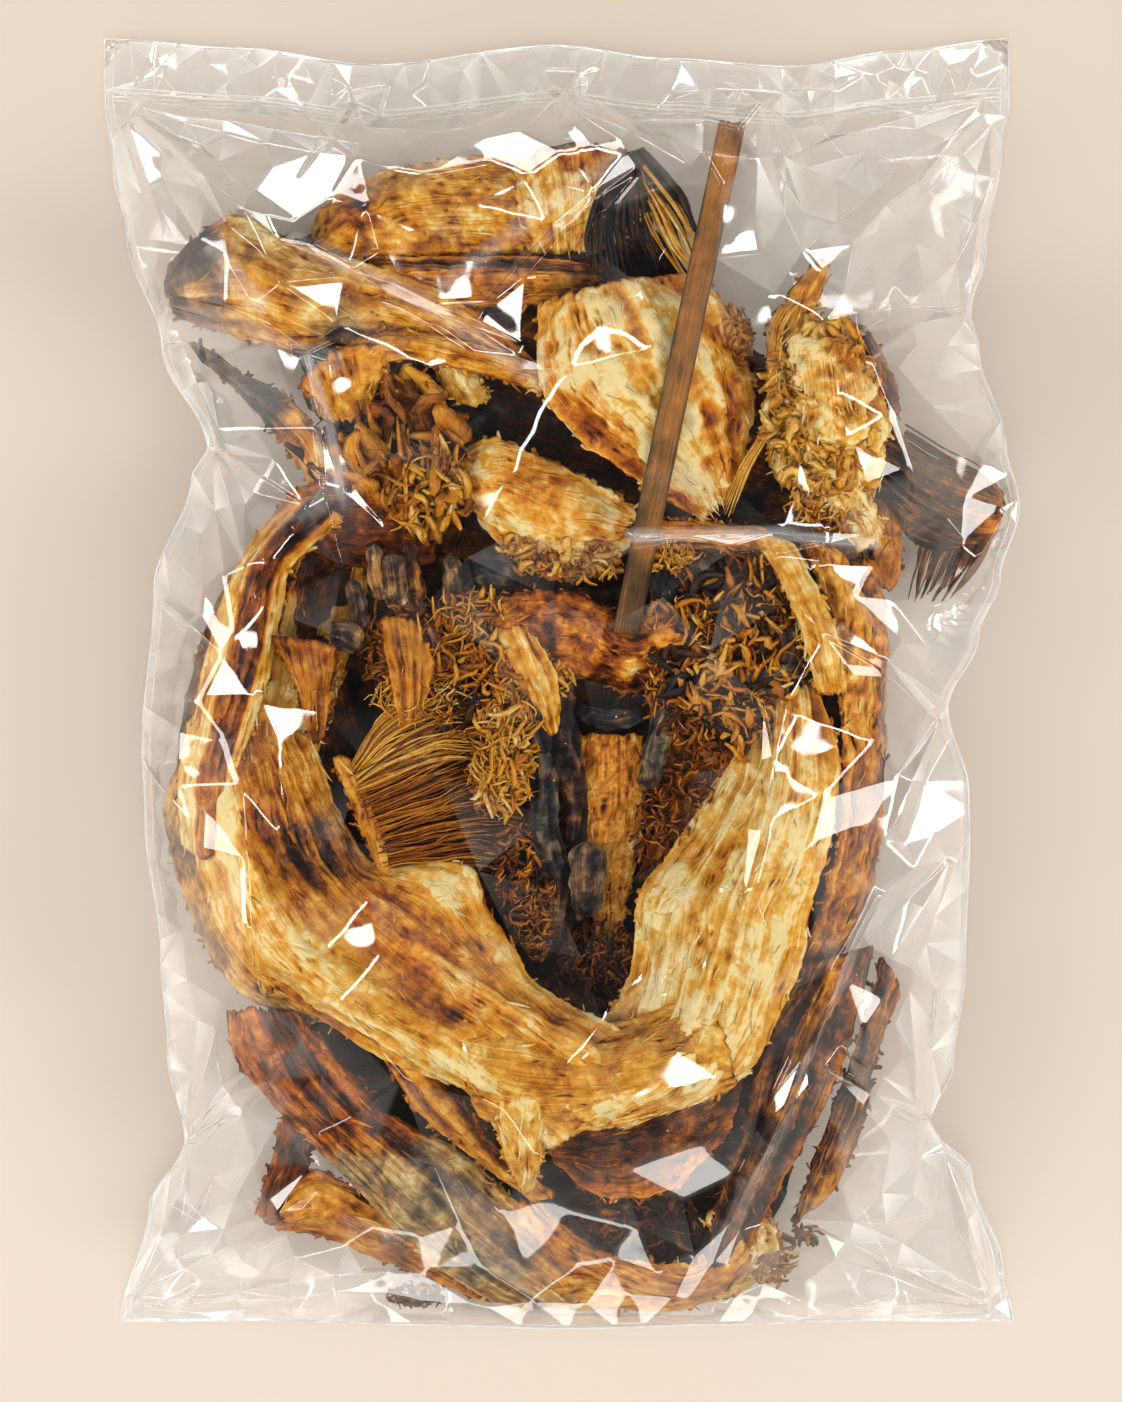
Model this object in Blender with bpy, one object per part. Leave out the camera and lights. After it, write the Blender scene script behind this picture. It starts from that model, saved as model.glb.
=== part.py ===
"""Sealed clear bag of dried stockfish, lying on its back.

The bag is a flat press-to-close bag: two sheets of crisp film joined along both sides and the
bottom, with a zip and a header band across the top.  It is one closed solid, out to the film.
The film is stretched over the lumps of dried fish inside, pinches in between them at the sides,
and lies flat and empty in the four corners.

Frame: +X across the bag, +Y from the bottom seam to the zip, +Z up through the film.  The origin
is the bottom centre of the bag's box, on the surface that the bag lies on.
"""

import bisect
import math
from collections import namedtuple

import bpy
import numpy as np

MM = 0.001

# ---------------------------------------------------------------- driving sizes, in millimetres
BAG_WIDTH = 321.0
BAG_LENGTH = 453.0
BAG_DEPTH = 108.0
HEADER_DEPTH = 19.0
ZIP_HALF_WIDTH = 2.4
ZIP_HALF_HEIGHT = 1.5
SEAM_HALF_THICKNESS = 0.5
AIR_HALF_THICKNESS = 3.2
AIR_REACH = 34.0

# How finely the two sheets are divided: columns across, rows from the bottom seam to the zip.
COLUMNS = 40
POUCH_ROWS = 50
HEADER_ROWS = 3
MEMBRANE_ROUNDS = 700

HALF_WIDTH = BAG_WIDTH / 2
HALF_LENGTH = BAG_LENGTH / 2

# ---------------------------------------------------------------- outline
# Each side seam as (distance up the bag, distance in from the flat bag's edge), from the bottom
# corner to the top one.  The film pinches in where no fish holds it out.
LEFT_SEAM = [
    (0, 5.8), (40, 16.0), (65, 29.2), (96, 23.6), (133, 21.2), (176, 16.3),
    (203, 15.2), (259, 19.5), (297, 32.4), (308, 38.0), (342, 22.0),
    (383, 8.6), (406, 3.7), (434, 0.2), (453, 0.0),
]
RIGHT_SEAM = [
    (0, 0.0), (19, 4.0), (53, 15.2), (71, 30.6), (92, 22.6), (124, 18.7),
    (173, 17.3), (188, 17.7), (217, 25.0), (242, 14.2), (262, 6.8),
    (287, 0.0), (309, 4.7), (342, 13.8), (355, 16.6), (377, 10.7),
    (414, 4.7), (432, 1.6), (453, 1.9),
]
# The top edge and the zip sag below a straight line between the corners, as (share across, sag).
TOP_SAG = [(0, 0.0), (0.15, 3.4), (0.30, 9.6), (0.50, 2.4), (0.62, 7.2), (0.76, 10.2), (0.88, 4.4), (1, 0.0)]
BOTTOM_SAG = [(0, 0.0), (0.25, 1.0), (0.5, 0.0), (0.75, 1.0), (1, 0.0)]
# How high the seams ride above the surface, as (share along the bag, height).
SIDE_SEAM_HEIGHT = [
    (0, 0.5), (0.08, 9.0), (0.22, 30.0), (0.42, 40.0), (0.62, 42.0), (0.76, 34.0),
    (0.88, 13.0), (0.955, 3.0), (1, 1.2),
]
BOTTOM_SEAM_HEIGHT = [(0, 0.5), (0.14, 5.0), (0.32, 26.0), (0.5, 34.0), (0.68, 26.0), (0.86, 5.0), (1, 0.5)]
ZIP_HEIGHT = [(0, 2.0), (0.15, 4.0), (0.30, 8.0), (0.50, 4.5), (0.76, 8.5), (0.9, 4.0), (1, 2.0)]
HEADER_LIFT = 3.0

# ---------------------------------------------------------------- what pushes the film out
# A lump of fish under the film: centre, half-lengths along its own axes, turn in degrees, top.
Lump = namedtuple("Lump", "x y half_long half_short turn top")
LUMPS = {
    "head_left_wing": Lump(-88, -30, 108, 44, 104, 88),
    "head_right_wing": Lump(66, -36, 112, 42, 76, 90),
    "head_chin": Lump(-14, -130, 74, 44, 4, 84),
    "head_gills": Lump(-30, -10, 76, 58, 100, 72),
    "lower_boards": Lump(-42, -176, 84, 34, -42, 60),
    "lower_right_strips": Lump(66, -164, 74, 28, 64, 58),
    "wing_piece": Lump(-92, 132, 58, 26, -8, 76),
    "back_ridge": Lump(-30, 156, 58, 24, 14, 58),
    "middle_slab": Lump(36, 106, 52, 30, -40, 96),
    "inner_fillet": Lump(-4, 66, 44, 26, -16, 84),
    "flaky_chunk": Lump(90, 88, 42, 30, 66, 90),
    "tail_root": Lump(132, 66, 34, 20, -22, 54),
    "slat": Lump(48, 130, 62, 13, 77, 84),
}
# Where the fish bears on the surface below: centre, half-lengths and turn of each foot.  Past a
# foot's edge the lower film may rise by this much for each millimetre.
Foot = namedtuple("Foot", "x y half_long half_short turn")
FEET = {
    "head": Foot(-6, -40, 96, 84, 90),
    "lower_pieces": Foot(-8, -146, 60, 36, 0),
    "upper_pieces": Foot(-6, 96, 88, 44, -6),
}
FOOT_SLOPE = 0.85
# Sharp folds that run from each corner and each pinch towards the fish: both ends and height.
Fold = namedtuple("Fold", "start end half_width height")
FOLDS = [
    Fold((-148, 200), (-96, 152), 14, 8.0),
    Fold((-150, 196), (-54, 186), 10, 6.0),
    Fold((-128, 82), (-86, 58), 12, 8.0),
    Fold((150, 200), (90, 134), 15, 9.0),
    Fold((148, 190), (138, 118), 10, 6.0),
    Fold((0, 204), (-28, 168), 9, 5.0),
    Fold((0, 204), (50, 166), 9, 5.0),
    Fold((128, -10), (92, 24), 11, 7.0),
    Fold((130, -14), (104, -60), 10, 5.0),
    Fold((-148, -218), (-74, -172), 14, 8.0),
    Fold((-148, -220), (-56, -206), 9, 5.0),
    Fold((152, -218), (80, -180), 14, 8.0),
    Fold((152, -220), (66, -212), 9, 5.0),
    Fold((124, -156), (84, -128), 12, 8.0),
    Fold((-130, -160), (-92, -138), 11, 7.0),
]

# Neighbouring facets that turn by more than this show a crease.
FOLD_ANGLE = math.radians(22)

FILM_COLOUR = (0.72, 0.60, 0.44, 1.0)
FILM_ROUGHNESS = 0.12


def smooth_between(stations, at):
    """Value at one place along (place, value) stations, eased from each station to the next."""
    places = [place for place, _ in stations]
    after = min(max(bisect.bisect_right(places, at), 1), len(stations) - 1)
    (place_a, value_a), (place_b, value_b) = stations[after - 1], stations[after]
    share = min(max((at - place_a) / (place_b - place_a), 0.0), 1.0)
    eased = share * share * (3 - 2 * share)
    return value_a + (value_b - value_a) * eased


def rows_along():
    """Distances up the flat bag at which both sheets have a row of points."""
    zip_at = BAG_LENGTH - HEADER_DEPTH
    pouch = np.linspace(0, zip_at - ZIP_HALF_WIDTH, POUCH_ROWS + 1)
    header = np.linspace(zip_at + ZIP_HALF_WIDTH, BAG_LENGTH, HEADER_ROWS + 1)
    return np.concatenate([pouch, [zip_at], header])


def plan_of_bag(rows, columns):
    """X and Y of every grid point, seen from above, rows by columns."""
    left = np.array([-HALF_WIDTH + smooth_between(LEFT_SEAM, row) for row in rows])
    right = np.array([HALF_WIDTH - smooth_between(RIGHT_SEAM, row) for row in rows])
    x = left[:, None] + (right - left)[:, None] * columns[None, :]
    top_sag = np.array([smooth_between(TOP_SAG, column) for column in columns])
    bottom_sag = np.array([smooth_between(BOTTOM_SAG, column) for column in columns])
    share = (rows / BAG_LENGTH)[:, None]
    y = rows[:, None] - HALF_LENGTH - top_sag * share**3 + bottom_sag * (1 - share) ** 6
    return x, y


def turned(x, y, shape):
    """Grid points in an elongated shape's own axes, as shares of its half-lengths."""
    angle = math.radians(shape.turn)
    along = (x - shape.x) * math.cos(angle) + (y - shape.y) * math.sin(angle)
    across = -(x - shape.x) * math.sin(angle) + (y - shape.y) * math.cos(angle)
    return along / shape.half_long, across / shape.half_short


def tops_of_lumps(x, y):
    """Height of the fish below the upper film, zero where there is none."""
    height = np.zeros_like(x)
    for lump in LUMPS.values():
        along, across = turned(x, y, lump)
        inside = np.clip(1 - along**2 - across**2, 0, None)
        height = np.maximum(height, lump.top * inside**0.32)
    return height


def highest_underside(x, y):
    """Most that the lower film may rise, which is zero where the fish presses it down."""
    height = np.full(x.shape, BAG_DEPTH)
    for foot in FEET.values():
        along, across = turned(x, y, foot)
        past_edge = np.clip(np.sqrt(along**2 + across**2) - 1, 0, None) * foot.half_short
        height = np.minimum(height, FOOT_SLOPE * past_edge)
    return height


def rim_heights(rows, columns):
    """Height of the seams and the zip all round the grid; the inside is left at zero."""
    rim = np.zeros((len(rows), len(columns)))
    side = [smooth_between(SIDE_SEAM_HEIGHT, row / BAG_LENGTH) for row in rows]
    rim[:, 0] = side
    rim[:, -1] = side
    rim[0, :] = [smooth_between(BOTTOM_SEAM_HEIGHT, column) for column in columns]
    zip_row = POUCH_ROWS + 1
    for step, row in enumerate(range(zip_row, len(rows))):
        lift = HEADER_LIFT * step / HEADER_ROWS
        rim[row, :] = [smooth_between(ZIP_HEIGHT, column) + lift for column in columns]
    return rim


def stretched(rim, low, high):
    """A taut sheet held at its rim that may not pass below low or above high."""
    sheet = np.clip(rim, low, high)
    held = np.zeros(rim.shape, bool)
    held[0, :] = held[:, 0] = held[:, -1] = True
    held[POUCH_ROWS + 1:, :] = True
    sheet[held] = rim[held]
    for _ in range(MEMBRANE_ROUNDS):
        pulled = sheet.copy()
        pulled[1:-1, 1:-1] = (
            sheet[:-2, 1:-1] + sheet[2:, 1:-1] + sheet[1:-1, :-2] + sheet[1:-1, 2:]
        ) / 4
        sheet = np.where(held, rim, np.clip(pulled, low, high))
    return sheet


def fold_heights(x, y):
    """Sharp-topped folds of the loose film, added to the upper sheet."""
    height = np.zeros_like(x)
    for fold in FOLDS:
        run_x, run_y = fold.end[0] - fold.start[0], fold.end[1] - fold.start[1]
        length = math.hypot(run_x, run_y)
        along = ((x - fold.start[0]) * run_x + (y - fold.start[1]) * run_y) / length
        across = (-(x - fold.start[0]) * run_y + (y - fold.start[1]) * run_x) / length
        ridge = np.clip(1 - np.abs(across) / fold.half_width, 0, 1)
        ends = np.clip(np.minimum(along, length - along) / (0.35 * length), 0, 1)
        height += fold.height * ridge * ends
    return height


def distance_to_rim(x, y, rows, columns):
    """Roughly how far each point lies from the nearest seam or the zip."""
    across = np.minimum(columns, 1 - columns)[None, :] * (x[:, -1] - x[:, 0])[:, None]
    zip_at = rows[POUCH_ROWS + 1]
    along = np.minimum(rows, np.clip(zip_at - rows, 0, None))[:, None]
    return np.minimum(across, np.broadcast_to(along, x.shape))


def sheets_of_bag():
    """Plan, lower sheet and upper sheet of the bag, as grids in millimetres."""
    rows = rows_along()
    columns = np.linspace(0, 1, COLUMNS + 1)
    x, y = plan_of_bag(rows, columns)
    rim = rim_heights(rows, columns)
    fish = tops_of_lumps(x, y)
    lower = stretched(rim, np.zeros_like(x), highest_underside(x, y))
    upper = stretched(rim, np.maximum(fish, lower), np.full_like(x, BAG_DEPTH))
    from_rim = distance_to_rim(x, y, rows, columns)
    air = np.clip(from_rim / AIR_REACH, 0, 1)
    half = SEAM_HALF_THICKNESS + (AIR_HALF_THICKNESS - SEAM_HALF_THICKNESS) * air
    half[POUCH_ROWS + 1, :] = ZIP_HALF_HEIGHT
    middle = np.maximum((upper + lower) / 2, half)
    spread = np.maximum((upper - lower) / 2, half)
    inner = np.clip(from_rim / HEADER_DEPTH, 0, 1)
    upper = middle + spread + fold_heights(x, y) * inner
    lower = np.maximum(middle - spread, 0)
    upper *= BAG_DEPTH / upper.max()
    return x, y, lower, upper


def closed_mesh(name, x, y, lower, upper):
    """One closed mesh from two grids of the same plan, joined by a narrow wall all round."""
    row_count, column_count = x.shape
    per_sheet = row_count * column_count
    points = np.concatenate([
        np.stack([x, y, lower], axis=2).reshape(-1, 3),
        np.stack([x, y, upper], axis=2).reshape(-1, 3),
    ])
    centre = (points[:, :2].min(0) + points[:, :2].max(0)) / 2
    points[:, :2] -= centre

    def at(row, column):
        return row * column_count + column

    faces = []
    for row in range(row_count - 1):
        for column in range(column_count - 1):
            quad = [
                at(row, column), at(row, column + 1),
                at(row + 1, column + 1), at(row + 1, column),
            ]
            faces.append([per_sheet + corner for corner in quad])
            faces.append(quad[::-1])
    rim = [at(0, column) for column in range(column_count)]
    rim += [at(row, column_count - 1) for row in range(1, row_count)]
    rim += [at(row_count - 1, column) for column in range(column_count - 2, -1, -1)]
    rim += [at(row, 0) for row in range(row_count - 2, 0, -1)]
    for here, there in zip(rim, rim[1:] + rim[:1]):
        faces.append([here, there, per_sheet + there, per_sheet + here])
    mesh = bpy.data.meshes.new(name)
    mesh.from_pydata((points * MM).tolist(), [], faces)
    mesh.validate()
    mesh.shade_smooth()
    mesh.set_sharp_from_angle(angle=FOLD_ANGLE)
    return mesh


def film_material():
    """Glossy film over amber fish, as one plain finish."""
    material = bpy.data.materials.new("clear_film")
    material.use_nodes = True
    shader = material.node_tree.nodes["Principled BSDF"]
    shader.inputs["Base Color"].default_value = FILM_COLOUR
    shader.inputs["Roughness"].default_value = FILM_ROUGHNESS
    shader.inputs["Metallic"].default_value = 0.0
    return material


def triangulated(obj):
    """Fixes how each warped quad splits, so that the solid is the same wherever it is read."""
    modifier = obj.modifiers.new("split_quads", "TRIANGULATE")
    modifier.quad_method = "SHORTEST_DIAGONAL"
    return obj


def clear_scene():
    """Removes whatever the scene holds."""
    for obj in list(bpy.data.objects):
        bpy.data.objects.remove(obj, do_unlink=True)


def main():
    """Builds the bag as one object."""
    clear_scene()
    mesh = closed_mesh("sealed_bag", *sheets_of_bag())
    mesh.materials.append(film_material())
    bag = bpy.data.objects.new("sealed_bag", mesh)
    bpy.context.scene.collection.objects.link(bag)
    triangulated(bag)


main()
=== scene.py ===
"""Sealed clear bag of dried stockfish, lying on its back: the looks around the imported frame.

The frame's one solid stands for the film, the air and everything inside it.  This script shows the
film as two crisp creased sheets with a zip and a header band, and fills it with a split dried cod
head, its gills and stalks, boards and strips of dried flesh, a tail root and a flat slat.

Sizes are in millimetres, from the origin of the frame: +X across the bag, +Y from the bottom seam
to the zip, +Z up through the upper film.
"""

import logging
import math
from dataclasses import dataclass, field
from enum import Enum

import bpy
import numpy as np
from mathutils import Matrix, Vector
from mathutils.geometry import delaunay_2d_cdt


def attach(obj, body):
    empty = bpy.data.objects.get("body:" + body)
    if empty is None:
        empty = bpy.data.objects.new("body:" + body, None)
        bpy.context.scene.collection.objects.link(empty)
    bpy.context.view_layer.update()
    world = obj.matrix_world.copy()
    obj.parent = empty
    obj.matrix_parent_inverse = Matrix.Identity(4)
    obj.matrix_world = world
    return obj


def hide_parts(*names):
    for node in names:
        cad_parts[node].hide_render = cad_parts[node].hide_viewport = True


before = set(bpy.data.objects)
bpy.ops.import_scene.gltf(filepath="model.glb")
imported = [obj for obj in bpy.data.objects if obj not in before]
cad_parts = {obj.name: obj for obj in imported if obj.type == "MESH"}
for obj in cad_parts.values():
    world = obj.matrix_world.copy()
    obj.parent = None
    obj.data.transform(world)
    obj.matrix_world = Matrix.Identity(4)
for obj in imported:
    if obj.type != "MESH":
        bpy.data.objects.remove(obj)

LOG = logging.getLogger("stockfish_bag")
MM = 0.001
BODY = "root"
BAG_NODE = "sealed_bag"
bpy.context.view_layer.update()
COARSENESS = 1.34  # how much wider than its steps each slab's grid is
RAIL_POINTS = 60  # points that a slab's rails are measured at
FLECK_AREA = 60  # square millimetres of slab for each loose fibre
# painted shade on the undersides of the slabs
UNDERSIDE_PAINTED_SHADE = 0.12  # how much darker a slab is underneath
FACET_SPLITS = 3  # how often each big facet of the film is split into four
STALK_STEP = 1.3  # millimetres between the rings of a stalk
STALK_SIDES = 28
WARM_WHITE = (1.0, 0.97, 0.93)

Point = tuple[float, float, float]
Array = np.ndarray


class Slot(Enum):
    """Kinds of material of the pieces; slabs and loose threads take their finish from them."""

    FILM = "clear_film"
    FLESH = "golden_flesh"
    SKIN = "brown_skin"
    GILL = "dark_gills"
    STALK = "grey_bone"
    SLAT = "bamboo_slat"


# ---------------------------------------------------------------- noise and curves


class Grain:
    """Smooth gradient noise in three directions, always the same for one seed."""

    def __init__(self, seed: int) -> None:
        """Draws the shuffled table and the slopes.

        Args:
            seed: any whole number.
        """
        rng = np.random.default_rng(seed)
        self.table = rng.permutation(256)
        slopes = rng.normal(size=(256, 3))
        self.slopes = (slopes / np.linalg.norm(slopes, axis=1)[:, None]).astype(np.float32)

    def at(self, points: Array) -> Array:
        """Noise of about -1 to 1.

        Args:
            points: places, one row of three for each.

        Returns:
            One value for each place.
        """
        cell = np.floor(points).astype(np.int64)
        part = (points - cell).astype(np.float32)
        ease = part * part * part * (part * (part * 6 - 15) + 10)
        total = np.zeros(len(points), np.float32)
        for corner in range(8):
            step = np.array([corner & 1, corner >> 1 & 1, corner >> 2 & 1])
            x, y, z = (cell + step).T & 255
            slope = self.slopes[self.table[(self.table[(self.table[x] + y) & 255] + z) & 255]]
            weight = np.where(step, ease, 1 - ease).prod(axis=1)
            total += weight * ((part - step) * slope).sum(axis=1)
        return total * 1.7

    def layered(self, points: Array, octaves: int = 3, gain: float = 0.5) -> Array:
        """Sum of ever finer and weaker noise.

        Args:
            points: places, one row of three for each.
            octaves: how many layers.
            gain: strength of each layer against the one before.

        Returns:
            One value for each place, of about -1 to 1.
        """
        total, strength, whole = np.zeros(len(points), np.float32), 1.0, 0.0
        for octave in range(octaves):
            total += strength * self.at(points * 2.03**octave + octave * 13.7)
            whole += strength
            strength *= gain
        return total / whole

    def creased(self, points: Array, octaves: int = 3) -> Array:
        """Noise with sharp crests, as in crumpled flesh; arguments as for layered."""
        total, strength, whole = np.zeros(len(points), np.float32), 1.0, 0.0
        for octave in range(octaves):
            crest = 1 - np.abs(self.at(points * 2.1**octave + octave * 7.3)) * 2
            total += strength * crest
            whole += strength
            strength *= 0.5
        return total / whole


def through(points: Array, shares: Array) -> Array:
    """Smooth curve through some points.

    Args:
        points: the points, along the first axis.
        shares: places along the curve, from 0 to 1, evenly spread over the points.

    Returns:
        One point of the curve for each share.
    """
    points = np.asarray(points, float)
    if len(points) == 2:
        place = np.asarray(shares).reshape((-1,) + (1,) * (points.ndim - 1))
        return points[0] + (points[1] - points[0]) * place
    padded = np.concatenate([[2 * points[0] - points[1]], points, [2 * points[-1] - points[-2]]])
    place = np.clip(np.asarray(shares, float), 0, 1) * (len(points) - 1)
    index = np.minimum(place.astype(int), len(points) - 2)
    part = (place - index).reshape((-1,) + (1,) * (points.ndim - 1))
    a, b, c, d = (padded[index + offset] for offset in range(4))
    return 0.5 * (
        2 * b + (c - a) * part + (2 * a - 5 * b + 4 * c - d) * part**2 + (3 * b - a - 3 * c + d) * part**3
    )


def evenly_through(points: Array, count: int) -> Array:
    """Points at even distances along the smooth curve through some points."""
    fine = through(points, np.linspace(0, 1, 400))
    walked = np.concatenate([[0], np.cumsum(np.linalg.norm(np.diff(fine, axis=0), axis=1))])
    wanted = np.linspace(0, walked[-1], count)
    return np.stack([np.interp(wanted, walked, fine[:, axis]) for axis in range(3)], axis=1)


def unit(vectors: Array) -> Array:
    """The same directions at length one."""
    return vectors / np.maximum(np.linalg.norm(vectors, axis=-1, keepdims=True), 1e-9)


def eased(value: Array, low: float, high: float) -> Array:
    """0 below low, 1 above high, and a smooth step between them."""
    share = np.clip((value - low) / (high - low), 0, 1)
    return share * share * (3 - 2 * share)


# ---------------------------------------------------------------- meshes


@dataclass
class Shell:
    """A mesh in the making, with what its finish needs to know at each point.

    tone runs from 0, nearly black, to 1, palest.  hue runs from -1, grey, through 0, golden, to 1,
    red-brown.  grain is millimetres along the fibres, across them, and a shift of the piece's own.
    """

    points: Array
    faces: list[Array]
    tone: Array
    hue: Array
    grain: Array

    @staticmethod
    def joined(shells: list["Shell"]) -> "Shell":
        """One shell from several that stay separate bodies."""
        faces, start = [], 0
        for shell in shells:
            faces += [group + start for group in shell.faces]
            start += len(shell.points)
        parts = [np.concatenate([getattr(shell, name) for shell in shells])
                 for name in ("points", "tone", "hue", "grain")]
        return Shell(parts[0], faces, parts[1], parts[2], parts[3])

    def made(self, name: str, material: bpy.types.Material, slot: Slot) -> bpy.types.Object:
        """Turns the shell into a piece that rides on the bag's body.

        Args:
            name: the piece's name.
            material: its finish.
            slot: its kind of material; not used.

        Returns:
            The new object.
        """
        mesh = bpy.data.meshes.new(name)
        counts = np.concatenate([np.full(len(group), group.shape[1]) for group in self.faces])
        corners = np.concatenate([group.ravel() for group in self.faces]).astype(np.int32)
        mesh.vertices.add(len(self.points))
        mesh.vertices.foreach_set("co", (self.points * MM).astype(np.float32).ravel())
        mesh.loops.add(len(corners))
        mesh.loops.foreach_set("vertex_index", corners)
        mesh.polygons.add(len(counts))
        starts = np.concatenate([[0], np.cumsum(counts)[:-1]]).astype(np.int32)
        mesh.polygons.foreach_set("loop_start", starts)
        mesh.update(calc_edges=True)
        mesh.shade_smooth()
        for label, values in (("tone", self.tone), ("hue", self.hue)):
            layer = mesh.attributes.new(label, "FLOAT", "POINT")
            layer.data.foreach_set("value", values.astype(np.float32))
        layer = mesh.attributes.new("grain", "FLOAT_VECTOR", "POINT")
        layer.data.foreach_set("vector", self.grain.astype(np.float32).ravel())
        mesh.materials.append(material)
        piece = bpy.data.objects.new(name, mesh)
        bpy.context.scene.collection.objects.link(piece)
        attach(piece, BODY)
        LOG.info("%s: %d faces", name, len(counts))
        return piece


def grid_faces(rows: int, columns: int, stride: int = 1) -> Array:
    """Quads over a grid of points, or over every stride-th of them in both directions."""
    row = np.arange(0, rows - 1, stride)[:, None]
    column = np.arange(0, columns - 1, stride)[None, :]
    corner = row * columns + column
    down, along = stride * columns, stride
    return np.stack([corner, corner + along, corner + along + down, corner + down], -1).reshape(-1, 4)


def rim_of_grid(rows: int, columns: int) -> Array:
    """Indices round the rim of a grid, in order, starting at its first corner."""
    bottom = np.arange(columns)
    right = np.arange(1, rows) * columns + columns - 1
    top = (rows - 1) * columns + np.arange(columns - 2, -1, -1)
    left = np.arange(rows - 2, 0, -1) * columns
    return np.concatenate([bottom, right, top, left])


def closed_pair(upper: Array, lower: Array, coarse: int = 4) -> tuple[Array, list[Array]]:
    """A closed mesh from two grids of points, the lower one at fewer points.

    Args:
        upper: upper grid, rows by columns by 3, with rows - 1 and columns - 1 divisible by coarse.
        lower: lower grid, of the same shape.
        coarse: how many upper cells go to one lower cell.

    Returns:
        The points, and the faces in groups of one size.
    """
    rows, columns = upper.shape[:2]
    few_rows, few_columns = (rows - 1) // coarse + 1, (columns - 1) // coarse + 1
    points = np.concatenate([upper.reshape(-1, 3), lower[::coarse, ::coarse].reshape(-1, 3)])
    top = grid_faces(rows, columns)
    bottom = grid_faces(few_rows, few_columns)[:, ::-1] + rows * columns
    fine, few = rim_of_grid(rows, columns), rim_of_grid(few_rows, few_columns) + rows * columns
    sides = []
    half = coarse // 2
    for index in range(len(few)):
        here, there = few[index], few[(index + 1) % len(few)]
        run = [fine[(index * coarse + step) % len(fine)] for step in range(coarse + 1)]
        for step in range(coarse):
            sides.append((run[step + 1], run[step], here if step < half else there))
        sides.append((run[half], here, there))
    return points, [top, bottom, np.array(sides)]


@dataclass
class Spot:
    """A patch of another colour on a piece: where it is, how wide, and what it adds."""

    x: float
    y: float
    reach: float
    tone: float
    hue: float = 0.0


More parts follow.
